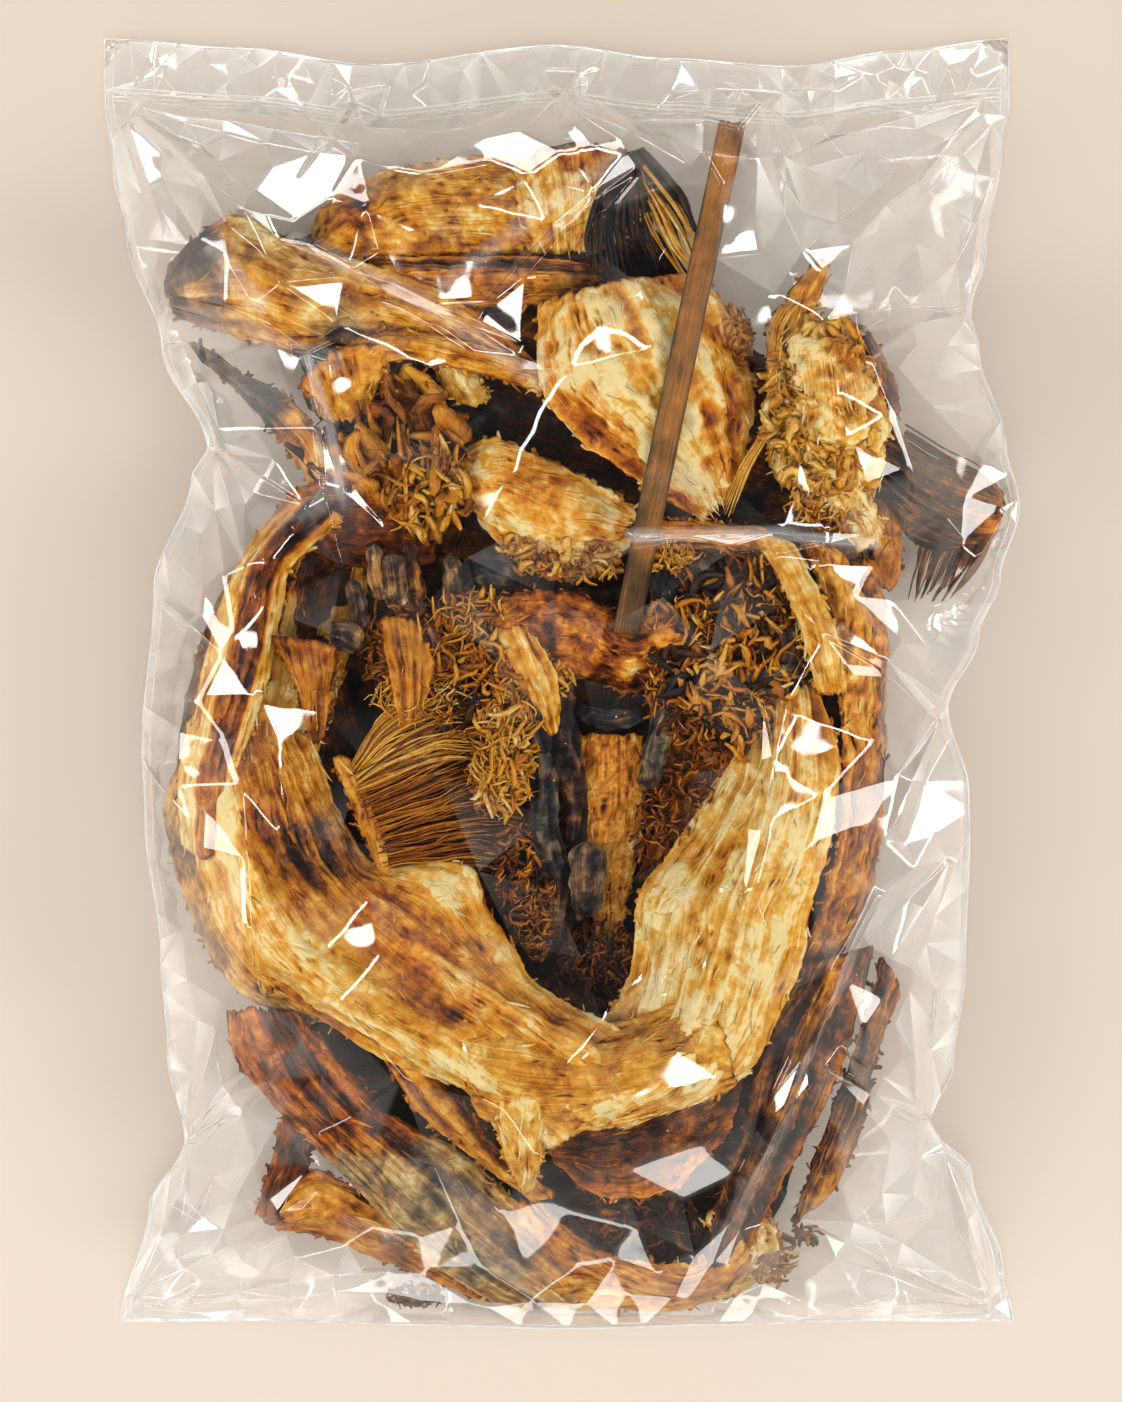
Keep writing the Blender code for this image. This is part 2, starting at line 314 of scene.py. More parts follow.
@dataclass
class Slab:
    """A dried board, strip, flap or panel: a thick skin over rails that run along its fibres.

    rails go side by side across the piece, each from its start to its end.
    """

    name: str
    rails: list[list[Point]]
    slot: Slot = Slot.FLESH
    thick: float = 3.0
    steps: tuple[float, float] = (1.4, 0.7)
    rag: float = 1.2
    bead: float = 0.6
    wrinkle: tuple[float, float] = (11.0, 2.4)
    rays: tuple[float, float] = (7.0, 0.0)
    fibre: float = 0.24
    crinkle: float = 0.75
    crumple: tuple[float, float] = (5.0, 0.0)
    tone: float = 0.6
    hue: float = 0.0
    # how strongly the relief is painted into the tone: painted highlight on ridges, painted shade in
    # hollows
    relief_painted_light: float = 0.32
    patches: float = 0.17
    # depth of the cracks, which also sets the painted shade in them
    cracks: float = 0.8
    tatters: int = 60
    across: list[tuple[float, float, float]] = field(default_factory=list)
    along: list[tuple[float, float, float]] = field(default_factory=list)
    spots: list[Spot] = field(default_factory=list)
    seed: int = 1

    def shell(self) -> Shell:
        """Builds the slab as a closed skin with fibres, wrinkles and ragged edges."""
        rails = [evenly_through(rail, RAIL_POINTS) for rail in self.rails]
        length = np.mean([np.linalg.norm(np.diff(rail, axis=0), axis=1).sum() for rail in rails])
        width = np.linalg.norm(np.diff(np.array(rails), axis=0), axis=2).sum(0).mean()
        rows = 4 * max(2, round(length / self.steps[0] / COARSENESS / 4)) + 1
        columns = 4 * max(2, round(width / self.steps[1] / COARSENESS / 4)) + 1
        v, u = np.linspace(0, 1, rows), np.linspace(0, 1, columns)
        net = np.array([evenly_through(rail, rows) for rail in self.rails])
        base = through(net, u).transpose(1, 0, 2)
        noise = Grain(self.seed)
        along = np.broadcast_to(v[:, None] * length, (rows, columns))
        over = np.broadcast_to((u[None, :] - 0.5) * width, (rows, columns))
        local = np.linalg.norm(np.gradient(base, axis=1), axis=2).sum(1)[:, None]
        to_side = np.minimum(u, 1 - u)[None, :] * local
        to_end = np.minimum(v, 1 - v)[:, None] * length
        edge = np.minimum(to_side, np.broadcast_to(to_end, to_side.shape))

        def sampled(a_scale: float, b_scale: float, shift: float = 0.0) -> Array:
            """Grain coordinates divided by a size along and a size across."""
            return np.stack([along / a_scale + shift, over / b_scale, np.full_like(over, self.seed)],
                            axis=-1).reshape(-1, 3)

        def shaped(values: Array) -> Array:
            """Flat values back on the grid."""
            return values.reshape(rows, columns)

        outward = unit(np.gradient(base, axis=1)) * np.sign(u - 0.5)[None, :, None]
        onward = unit(np.gradient(base, axis=0)) * np.sign(v - 0.5)[:, None, None]
        ragged = 1.7 * shaped(noise.layered(sampled(5.5, 60.0, 5.0), 4, 0.75))
        torn = shaped(noise.layered(sampled(60.0, 3.0, 9.0), 3, 0.8))
        base = base + outward * (ragged * self.rag * (1 - eased(to_side, 0, 7)))[..., None]
        base = base + onward * (torn * self.rag * 2.2 * (1 - eased(to_end, 0, 9)))[..., None]
        normal = unit(np.cross(np.gradient(base, axis=1), np.gradient(base, axis=0)))
        flipped = normal[..., 2].mean() < 0
        if flipped:
            normal = -normal
        size, height = self.wrinkle
        places = base.reshape(-1, 3)
        folds = shaped(noise.layered(places / size + self.seed * 3.1, 2))
        comb = 0.2 + 0.8 * eased(shaped(noise.at(places / 24.0 + 11)), -0.3, 0.5)
        streak = comb * shaped(noise.layered(sampled(36.0, 1.4), 2, 0.6))
        fine = comb * shaped(noise.at(sampled(18.0, 0.8, 3.0)))
        crinkle = shaped(noise.creased(places / 8.0 + self.seed * 1.7, 3)) - 0.35
        wander = 3.0 * shaped(noise.at(sampled(55.0, 30.0, 2.0)))
        combed = np.stack([along / 60.0, (over + wander) / self.rays[0],
                           np.full_like(over, self.seed + 0.5)], -1)
        ray = 1 - 2 * np.abs(shaped(noise.layered(combed.reshape(-1, 3), 2, 0.45))) * 1.5
        crush = 0 * folds
        if self.crumple[1]:
            crush = shaped(noise.creased(places / self.crumple[0] + self.seed, 3))
        split = np.exp(-(shaped(noise.at(sampled(48.0, 3.0, 7.0))) / 0.035) ** 2)
        split = split * eased(shaped(noise.at(places / 13.0 + 5)), -0.15, 0.35)
        patch = np.tanh(2.2 * shaped(noise.layered(places / 15.0 + 8, 3, 0.65))) * 0.75
        warmth = shaped(noise.layered(places / 22.0 - 6, 2))
        inner = eased(edge, 0, 5)
        relief = (folds * height + streak * self.fibre + fine * self.fibre * 0.4
                  + ray * self.rays[1] + crush * self.crumple[1] + crinkle * self.crinkle
                  - split * self.cracks)
        lip = np.exp(-((edge - 1.6) / 1.3) ** 2) * self.bead
        edge_drop = (1 - np.sqrt(eased(edge, -0.6, self.thick * 0.8))) * self.thick * 0.45
        upper = base + normal * (relief * (0.25 + 0.75 * inner) + lip - edge_drop)[..., None]
        under = self.thick * (0.12 + 0.88 * np.sqrt(eased(edge, -0.3, self.thick)))
        lower = base - normal * (under + np.abs(folds) * 0.3)[..., None]
        points, faces = closed_pair(upper, lower)
        if flipped:
            faces = [group[:, ::-1] for group in faces]
        tone = np.full((rows, columns), self.tone)
        hue = np.full((rows, columns), self.hue)
        for stops, place in ((self.across, u[None, :]), (self.along, v[:, None])):
            if stops:
                at, tones, hues = np.array(stops).T
                shifted = place + 0.05 * folds + 0.03 * streak
                tone = tone + np.interp(shifted, at, tones)
                hue = hue + np.interp(shifted, at, hues)
        spread = 1 + 0.35 * folds + 0.2 * streak
        for spot in self.spots:
            far = np.hypot(base[..., 0] - spot.x, base[..., 1] - spot.y) * spread
            share = 1 - eased(far, spot.reach * 0.35, spot.reach)
            tone = tone + spot.tone * share
            hue = hue + spot.hue * share
        # painted light and shade: the tone follows the relief, lighter on ridges and the raised lip, darker
        # in hollows
        rough = (folds * 0.35 + crinkle * 0.45 + streak * 0.6 + fine * 0.25
                 + ray * (0.6 if self.rays[1] else 0)
                 + crush * (1.0 if self.crumple[1] else 0))
        tone = tone + self.relief_painted_light * rough + 0.10 * lip / max(self.bead, 0.1)
        # painted shade: the tone is darker along the sunk cracks
        tone = tone + self.patches * patch - 0.5 * self.cracks * split - 0.10 * np.exp(-np.abs(edge) / 1.6)
        hue = (hue + 1.6 * self.patches * warmth + 0.3 * self.cracks * split
               + 0.3 * np.exp(-np.abs(edge) / 3.0))
        values = [np.concatenate([part.ravel(), part[::4, ::4].ravel()]) for part in (tone, hue)]
        grain = np.stack([along, over, np.full_like(over, self.seed * 31.7)], -1)
        grain = np.concatenate([grain.reshape(-1, 3), grain[::4, ::4].reshape(-1, 3)])
        top = rows * columns
        # painted shade on the underside of the slab
        values[0][top:] -= UNDERSIDE_PAINTED_SHADE
        board = Shell(points, faces, values[0], values[1], grain)
        rng = np.random.default_rng(self.seed)
        parts = [board]
        flecks = int(length * width / FLECK_AREA)
        for count, on_edge in ((self.tatters, True), (flecks, False)):
            if not count:
                continue
            row = rng.integers(2, rows - 2, count)
            side = np.where(rng.random(count) < 0.5, 0, columns - 1)
            column = side if on_edge else rng.integers(2, columns - 2, count)
            out, up = outward[row, column], normal[row, column]
            on = unit(np.gradient(base, axis=0)[row, column])
            if on_edge:
                heading = unit(out * rng.uniform(0.0, 0.6, (count, 1)) + on * rng.normal(0, 1.0, (count, 1))
                               + up * rng.uniform(-0.2, 0.6, (count, 1)))
                reach, breadth = rng.uniform(0.9, 2.6, (count, 1)), rng.uniform(0.3, 1.3, (count, 1))
            else:
                heading = unit(on + out * rng.normal(0, 0.35, (count, 1))
                               + up * rng.uniform(0.0, 0.16, (count, 1)))
                reach, breadth = rng.uniform(1.5, 7.0, (count, 1)), rng.uniform(0.12, 0.75, (count, 1))
            share = np.linspace(-0.5, 1, 5)
            bend = unit(rng.normal(size=(count, 3))) * (0.5 if on_edge else 0.12)
            path = (upper[row, column] + up * 0.15)[:, None] + reach[:, None] * (
                heading[:, None] * share[None, :, None] + bend[:, None] * (share**2)[None, :, None])
            profile = np.array([0.6, 1, 0.95, 0.85, 0.6] if on_edge else [0.2, 0.9, 1, 0.7, 0.25])
            shade = tone[row, column][:, None] + rng.uniform(-0.15, 0.2, (count, 1)) + np.zeros((1, 5))
            parts.append(tubes(path, breadth * profile[None, :], np.full(count, 0.35), shade,
                               hue[row, column],
                               unit(rng.normal(size=(count, 3)) * (1.0 if on_edge else 0.4) + up * 1.5)))
        return Shell.joined(parts)


def slabs_made(slabs: list[Slab], flesh: bpy.types.Material,
               skin: bpy.types.Material) -> list[bpy.types.Object]:
    """Makes a piece of each slab.

    Args:
        slabs: the slabs.
        flesh: finish of all but the skins.
        skin: finish of the skins.

    Returns:
        The new objects.
    """
    return [slab.shell().made(slab.name, skin if slab.slot is Slot.SKIN else flesh, slab.slot)
            for slab in slabs]


def tubes(paths: Array, radii: Array, flat: Array, tone: Array, hue: Array, facing: Array,
          sides: int = 4) -> Shell:
    """Many tapered threads or ribbons at once, each a closed body.

    Args:
        paths: centre lines, threads by points by 3.
        radii: half-width at each point, threads by points.
        flat: thickness of each thread as a share of its width.
        tone: tone at each point, threads by points.
        hue: hue of each thread.
        facing: direction that each ribbon's broad side faces.
        sides: sides of the cross-section.

    Returns:
        All of them as one shell.
    """
    threads, count = paths.shape[:2]
    run = unit(np.gradient(paths, axis=1))
    facing = np.broadcast_to(facing[:, None, :], paths.shape)
    wide = unit(np.cross(run, facing))
    deep = np.cross(run, wide)
    angle = np.arange(sides) / sides * 2 * math.pi
    ring = (np.cos(angle)[:, None] * wide[..., None, :]
            + np.sin(angle)[:, None] * flat[:, None, None, None] * deep[..., None, :])
    points = paths[:, :, None, :] + ring * radii[:, :, None, None]
    base = (np.arange(threads) * count * sides)[:, None, None]
    step = np.arange(count - 1)[None, :, None] * sides
    side = np.arange(sides)[None, None, :]
    after = (side + 1) % sides
    quads = np.stack([base + step + side, base + step + after,
                      base + step + sides + after, base + step + sides + side], -1).reshape(-1, 4)
    start = (np.arange(threads) * count * sides)[:, None] + np.arange(sides)[None, ::-1]
    end = (np.arange(threads) * count * sides)[:, None] + (count - 1) * sides + np.arange(sides)
    walked = np.linalg.norm(np.diff(paths, axis=1), axis=2).cumsum(1)
    walked = np.concatenate([np.zeros((threads, 1)), walked], 1)
    grain = np.zeros((threads, count, sides, 3))
    grain[..., 0] = walked[:, :, None]
    grain[..., 1] = np.sin(angle) * radii[:, :, None]
    grain[..., 2] = (np.arange(threads) * 3.7)[:, None, None]
    shape = (threads, count, sides)
    return Shell(points.reshape(-1, 3), [quads, start, end],
                 np.broadcast_to(tone[:, :, None], shape).reshape(-1),
                 np.broadcast_to(hue[:, None, None], shape).reshape(-1), grain.reshape(-1, 3))


@dataclass
class Shreds:
    """A scatter of torn threads and ribbons: where they lie, how long, how curled, what colour."""

    centre: Point
    reach: tuple[float, float, float]
    count: int
    length: tuple[float, float] = (6, 14)
    width: tuple[float, float] = (0.5, 1.4)
    flat: float = 0.3
    heading: float = 90.0
    fan: float = 60.0
    rise: tuple[float, float] = (-0.2, 0.7)
    curl: float = 0.8
    tone: tuple[float, float] = (0.25, 0.6)
    hue: tuple[float, float] = (0.1, 0.6)
    turn: float = 0.0
    seed: int = 1

    def shell(self) -> Shell:
        """Scatters the shreds."""
        rng = np.random.default_rng(self.seed)
        count = self.count
        around = rng.uniform(0, 2 * math.pi, count)
        out = np.sqrt(rng.uniform(0, 1, count))
        local = np.stack([np.cos(around) * out * self.reach[0], np.sin(around) * out * self.reach[1]], 1)
        turn = math.radians(self.turn)
        spin = np.array([[math.cos(turn), -math.sin(turn)], [math.sin(turn), math.cos(turn)]])
        plan = local @ spin.T + np.array(self.centre[:2])
        dome = np.sqrt(1 - out**2 * 0.8) - 0.6 + rng.uniform(-0.5, 0.3, count)
        height = self.centre[2] + self.reach[2] * dome
        start = np.concatenate([plan, height[:, None]], 1)
        heading = np.radians(self.heading + rng.normal(0, self.fan, count))
        rise = rng.uniform(*self.rise, count)
        run = unit(np.stack([np.cos(heading), np.sin(heading), rise], 1))
        bend = unit(np.cross(run, rng.normal(size=(count, 3)))) * rng.uniform(-1, 1, (count, 1)) * self.curl
        length = rng.uniform(*self.length, count)
        share = np.linspace(0, 1, 6)
        wave = rng.normal(size=(count, 3)) * 0.08
        path = start[:, None, :] + length[:, None, None] * (
            run[:, None, :] * (share - 0.5)[None, :, None]
            + bend[:, None, :] * (share**2 - share)[None, :, None]
            + wave[:, None, :] * np.sin(share * 7)[None, :, None])
        width = rng.uniform(*self.width, count)
        profile = np.clip(np.sin(np.clip(share * 0.9 + 0.08, 0, 1) * math.pi), 0.15, 1) ** 0.6
        tone = rng.uniform(*self.tone, count)[:, None] + 0.12 * (share - 0.4)[None, :]
        return tubes(path, width[:, None] * profile[None, :] / 2, np.full(count, self.flat), tone,
                     rng.uniform(*self.hue, count), unit(rng.normal(size=(count, 3)) + [0, 0, 1.2]))


@dataclass
class Strands:
    """A bundle of threads that run side by side between two guide lines."""

    first: list[Point]
    last: list[Point]
    count: int
    width: tuple[float, float] = (0.5, 0.9)
    flat: float = 0.6
    stray: float = 1.2
    short: float = 0.3
    layers: float = 2.0
    tone: tuple[float, float] = (0.3, 0.6)
    hue: tuple[float, float] = (0.2, 0.6)
    tip_tone: float = 0.1
    seed: int = 1

    def shell(self) -> Shell:
        """Builds the bundle."""
        rng = np.random.default_rng(self.seed)
        share = np.linspace(0, 1, 16)
        guides = np.array([evenly_through(self.first, 16), evenly_through(self.last, 16)])
        place = np.linspace(0, 1, self.count) + rng.normal(0, 0.6 / self.count, self.count)
        path = guides[0][None] * (1 - place)[:, None, None] + guides[1][None] * place[:, None, None]
        ends = 1 - rng.uniform(0, self.short, self.count)
        path = np.stack([through(line, share * end) for line, end in zip(path, ends)])
        noise = Grain(self.seed)
        probe = np.stack([np.broadcast_to(share * 2.2, (self.count, 16)),
                          np.broadcast_to((np.arange(self.count) * 0.31)[:, None], (self.count, 16)),
                          np.zeros((self.count, 16))], -1).reshape(-1, 3)
        for axis in range(3):
            sway = noise.layered(probe + axis * 19.3, 2).reshape(self.count, 16)
            path[..., axis] += sway * self.stray * (0.3 + share)[None, :]
        path[..., 2] += rng.uniform(-self.layers, self.layers, self.count)[:, None]
        width = rng.uniform(*self.width, self.count)
        taper = 1 - 0.75 * share**3
        tone = rng.uniform(*self.tone, self.count)[:, None] + self.tip_tone * share[None, :]
        return tubes(path, width[:, None] * taper[None, :] / 2, np.full(self.count, self.flat), tone,
                     rng.uniform(*self.hue, self.count),
                     unit(rng.normal(size=(self.count, 3)) * 0.5 + [0, 0, 1]))


@dataclass
class Stalk:
    """A thick stalk, arch or knob: a lumpy round rod along a path."""

    path: list[Point]
    radii: list[float]
    tone: float = 0.35
    hue: float = -0.8
    lumps: float = 1.3
    grooves: float = 0.8
    flat: float = 0.8
    end_tone: float = 0.0
    seed: int = 1

    def shell(self) -> Shell:
        """Builds the stalk with rounded ends."""
        core = np.array(self.path, float)
        length = np.linalg.norm(np.diff(core, axis=0), axis=1).sum()
        rows, sides = max(14, round(length / STALK_STEP)), STALK_SIDES
        share = np.linspace(0, 1, rows)
        line = evenly_through(self.path, rows)
        radius = np.interp(share, np.linspace(0, 1, len(self.radii)), self.radii)
        from_end = np.minimum(share, 1 - share) * length
        radius = radius * np.sqrt(np.clip(1 - (1 - np.clip(from_end / radius.mean(), 0, 1)) ** 2, 0.01, 1))
        run = unit(np.gradient(line, axis=0))
        wide = unit(np.cross(run, np.array([0.0, 0.0, 1.0]) + 1e-3))
        deep = np.cross(run, wide)
        angle = np.arange(sides) / sides * 2 * math.pi
        ring = (np.cos(angle)[None, :, None] * wide[:, None]
                + self.flat * np.sin(angle)[None, :, None] * deep[:, None])
        points = line[:, None] + ring * radius[:, None, None]
        noise = Grain(self.seed)
        lump = noise.layered(points.reshape(-1, 3) / 4.2, 4, 0.6).reshape(rows, sides)
        probe = np.stack([np.broadcast_to((share * length / 14)[:, None], (rows, sides)),
                          np.broadcast_to(np.cos(angle) * 2.6, (rows, sides)),
                          np.broadcast_to(np.sin(angle) * 2.6, (rows, sides))], -1).reshape(-1, 3)
        groove = noise.layered(probe, 2).reshape(rows, sides)
        fade = np.clip(from_end / 2.0, 0.2, 1)[:, None]
        points = points + ring * ((lump * self.lumps + groove * self.grooves) * fade)[..., None]
        base = np.arange(rows - 1)[:, None] * sides
        side = np.arange(sides)[None, :]
        after = (side + 1) % sides
        quads = np.stack([base + side, base + after, base + sides + after, base + sides + side], -1)
        last = (rows - 1) * sides
        caps = [np.array([[0, k + 1, k] for k in range(1, sides - 1)]),
                np.array([[last, last + k, last + k + 1] for k in range(1, sides - 1)])]
        near_start = (1 - np.clip(share * 5, 0, 1))[:, None]
        # painted light and shade: the tone follows the lumps and grooves, lighter where the surface swells
        # out, darker where it sinks
        tone = self.tone + 0.45 * lump + 0.35 * groove + self.end_tone * near_start
        grain = np.stack([np.broadcast_to((share * length)[:, None], (rows, sides)),
                          np.broadcast_to((angle * radius.mean())[None, :], (rows, sides)),
                          np.full((rows, sides), self.seed * 11.3)], -1)
        return Shell(points.reshape(-1, 3), [quads.reshape(-1, 4)] + caps, tone.ravel(),
                     np.full(rows * sides, self.hue), grain.reshape(-1, 3))


# ---------------------------------------------------------------- finishes


Ramp = list[tuple[float, tuple[float, float, float]]]
Colour = bpy.types.NodeSocket | tuple[float, float, float, float]


def new_material(name: str) -> tuple[bpy.types.Material, bpy.types.NodeTree]:
    """An empty node material and its tree."""
    material = bpy.data.materials.new(name)
    material.use_nodes = True
    material.node_tree.nodes.clear()
    return material, material.node_tree


def node(tree: bpy.types.NodeTree, kind: str, inputs: dict | None = None, **settings) -> bpy.types.Node:
    """Adds a node.

    Args:
        tree: where it goes.
        kind: Blender's name for it.
        inputs: values or output sockets for its inputs, by name or number.
        settings: its own properties.

    Returns:
        The node.
    """
    made = tree.nodes.new(kind)
    for label, value in settings.items():
        setattr(made, label, value)
    for label, value in (inputs or {}).items():
        if isinstance(value, bpy.types.NodeSocket):
            tree.links.new(value, made.inputs[label])
        else:
            made.inputs[label].default_value = value
    return made


def maths(tree: bpy.types.NodeTree, operation: str, *values, clamp: bool = False) -> bpy.types.NodeSocket:
    """Output of one Math node fed with numbers or sockets."""
    made = node(tree, "ShaderNodeMath", dict(enumerate(values)), operation=operation, use_clamp=clamp)
    return made.outputs[0]


def ramped(tree: bpy.types.NodeTree, value: bpy.types.NodeSocket, stops: Ramp) -> bpy.types.NodeSocket:
    """Colour read from a ramp.

    Args:
        tree: where the node goes.
        value: place on the ramp.
        stops: places with their colours.

    Returns:
        The colour.
    """
    made = node(tree, "ShaderNodeValToRGB", {0: value})
    ramp = made.color_ramp
    while len(ramp.elements) < len(stops):
        ramp.elements.new(0.5)
    for element, (place, colour) in zip(ramp.elements, stops):
        element.position = place
        element.color = (*colour, 1.0)
    return made.outputs[0]


def blended(tree: bpy.types.NodeTree, share: bpy.types.NodeSocket, first: Colour,
            second: Colour) -> bpy.types.NodeSocket:
    """Colour between two, at a share.

    Args:
        tree: where the node goes.
        share: 0 for the first colour, 1 for the second.
        first: the first colour.
        second: the second colour.

    Returns:
        The mixed colour.
    """
    made = node(tree, "ShaderNodeMix", data_type="RGBA")
    for socket, value in zip((made.inputs[0], made.inputs[6], made.inputs[7]), (share, first, second)):
        if isinstance(value, bpy.types.NodeSocket):
            tree.links.new(value, socket)
        else:
            socket.default_value = value
    return made.outputs[2]


GOLD: Ramp = [(0.0, (0.005, 0.003, 0.002)), (0.15, (0.024, 0.009, 0.004)), (0.30, (0.12, 0.032, 0.005)),
              (0.45, (0.34, 0.100, 0.006)), (0.60, (0.60, 0.225, 0.012)), (0.75, (0.78, 0.365, 0.030)),
              (0.90, (0.90, 0.53, 0.10)), (1.0, (0.95, 0.76, 0.34))]
RUSSET: Ramp = [(0.0, (0.005, 0.002, 0.002)), (0.15, (0.022, 0.006, 0.003)), (0.30, (0.105, 0.020, 0.003)),
                (0.45, (0.30, 0.062, 0.005)), (0.60, (0.56, 0.155, 0.008)), (0.75, (0.79, 0.30, 0.022)),
                (0.90, (0.91, 0.50, 0.10)), (1.0, (0.95, 0.74, 0.36))]
ASHEN: Ramp = [(0.0, (0.004, 0.004, 0.005)), (0.20, (0.014, 0.014, 0.016)), (0.35, (0.045, 0.042, 0.040)),
               (0.50, (0.14, 0.102, 0.060)), (0.65, (0.32, 0.22, 0.10)), (0.80, (0.57, 0.41, 0.18)),
               (1.0, (0.88, 0.78, 0.52))]


@dataclass(frozen=True)
class DriedFinish:
    """Dried flesh, skin or gill: streaks along the fibres, mottling, salt specks and a waxy gloss."""

    name: str
    streaks: float = 0.22
    mottle: float = 0.22
    specks: float = 0.6
    rough: tuple[float, float] = (0.32, 0.6)
    coat: float = 0.10
    relief: float = 0.6
    # how much painted shade darkens the cracks
    creases: float = 0.13
    lift: float = 0.0

    def made(self) -> bpy.types.Material:
        """Builds the material."""
        material, tree = new_material(self.name)
        tone = node(tree, "ShaderNodeAttribute", attribute_name="tone").outputs["Fac"]
        hue = node(tree, "ShaderNodeAttribute", attribute_name="hue").outputs["Fac"]
        grain = node(tree, "ShaderNodeAttribute", attribute_name="grain").outputs["Vector"]
        place = node(tree, "ShaderNodeTexCoord").outputs["Object"]
        laid = node(tree, "ShaderNodeMapping", {"Vector": grain, "Scale": (0.045, 1.5, 1.0)}).outputs[0]
        streak = node(tree, "ShaderNodeTexNoise",
                      {"Vector": laid, "Scale": 1.0, "Detail": 3.0, "Roughness": 0.68, "Distortion": 0.4})
        thin = node(tree, "ShaderNodeMapping", {"Vector": grain, "Scale": (0.025, 3.2, 1.0)}).outputs[0]
        vein = node(tree, "ShaderNodeTexNoise", {"Vector": thin, "Scale": 1.0, "Detail": 1.0})
        cloud = node(tree, "ShaderNodeTexNoise",
                     {"Vector": place, "Scale": 210.0, "Detail": 4.0, "Roughness": 0.64})
        drift = node(tree, "ShaderNodeTexNoise", {"Vector": place, "Scale": 45.0, "Detail": 3.0}).outputs[0]
        fibres = maths(tree, "ADD", maths(tree, "MULTIPLY", streak.outputs[0], 0.65),
                       maths(tree, "MULTIPLY", vein.outputs[0], 0.35))
        patchy = node(tree, "ShaderNodeMapRange", {"Value": drift, "From Min": 0.40, "From Max": 0.60,
                                                   "To Min": 0.2, "To Max": 1.0}).outputs[0]
        shift = maths(tree, "MULTIPLY", maths(tree, "SUBTRACT", fibres, 0.5), patchy)
        shift = maths(tree, "MULTIPLY", shift, self.streaks * 5.0)
        stain = node(tree, "ShaderNodeTexNoise",
                     {"Vector": place, "Scale": 80.0, "Detail": 3.0, "Roughness": 0.6,
                      "Distortion": 1.3}).outputs[0]
        push = node(tree, "ShaderNodeVectorMath", {0: cloud.outputs["Color"], "Scale": 0.006},
                    operation="SCALE").outputs[0]
        bent = node(tree, "ShaderNodeVectorMath", {0: place, 1: push})
        cell = node(tree, "ShaderNodeTexVoronoi", {"Vector": bent.outputs[0], "Scale": 150.0},
                    feature="DISTANCE_TO_EDGE").outputs["Distance"]
        crack = node(tree, "ShaderNodeMapRange", {"Value": cell, "From Min": 0.0, "From Max": 0.11,
                                                  "To Min": 1.0, "To Max": 0.0}).outputs[0]
        crack = maths(tree, "MULTIPLY", crack, node(tree, "ShaderNodeMapRange", {
            "Value": stain, "From Min": 0.42, "From Max": 0.62}).outputs[0])
        mixed = maths(tree, "ADD", maths(tree, "MULTIPLY", cloud.outputs[0], 0.55),
                      maths(tree, "MULTIPLY", stain, 0.45))
        spread = maths(tree, "MULTIPLY", maths(tree, "SUBTRACT", mixed, 0.5), self.mottle * 6.0)
        # painted shade: the tone is darker along the cracks, which also sink in the bump
        spread = maths(tree, "SUBTRACT", spread, maths(tree, "MULTIPLY", crack, self.creases))
        total = maths(tree, "ADD", maths(tree, "ADD", tone, self.lift), shift)
        total = maths(tree, "ADD", total, spread, clamp=True)
        wander = maths(tree, "ADD", hue, maths(tree, "MULTIPLY", maths(tree, "SUBTRACT", drift, 0.5), 1.2))
        gold = ramped(tree, total, GOLD)
        red = maths(tree, "MULTIPLY", wander, 1.0, clamp=True)
        warm = blended(tree, red, gold, ramped(tree, total, RUSSET))
        grey = maths(tree, "MULTIPLY", wander, -1.0, clamp=True)
        colour = blended(tree, grey, warm, ramped(tree, total, ASHEN))
        salt = node(tree, "ShaderNodeTexVoronoi", {"Vector": place, "Scale": 260.0})
        dot = maths(tree, "LESS_THAN", salt.outputs["Distance"], 0.085)
        chosen = maths(tree, "GREATER_THAN", cloud.outputs[0], 0.57)
        dusted = maths(tree, "MULTIPLY", maths(tree, "MULTIPLY", dot, chosen), self.specks)
        colour = blended(tree, dusted, colour, (0.9, 0.82, 0.66, 1))
        gloss = node(tree, "ShaderNodeMapRange",
                     {"Value": cloud.outputs[0], "From Min": 0.3, "From Max": 0.7,
                      "To Min": self.rough[0], "To Max": self.rough[1]}).outputs[0]
        height = maths(tree, "ADD", maths(tree, "MULTIPLY", maths(tree, "MULTIPLY", fibres, patchy), 0.8),
                       mixed)
        height = maths(tree, "SUBTRACT", height, maths(tree, "MULTIPLY", crack, 0.3))
        bump = node(tree, "ShaderNodeBump", {"Strength": self.relief, "Distance": 0.0018, "Height": height})
        shader = node(tree, "ShaderNodeBsdfPrincipled",
                      {"Base Color": colour, "Roughness": gloss, "Normal": bump.outputs[0],
                       "Specular IOR Level": 0.30, "Coat Weight": self.coat, "Coat Roughness": 0.18,
                       "IOR": 1.4})
        node(tree, "ShaderNodeOutputMaterial", {"Surface": shader.outputs[0]})
        return material


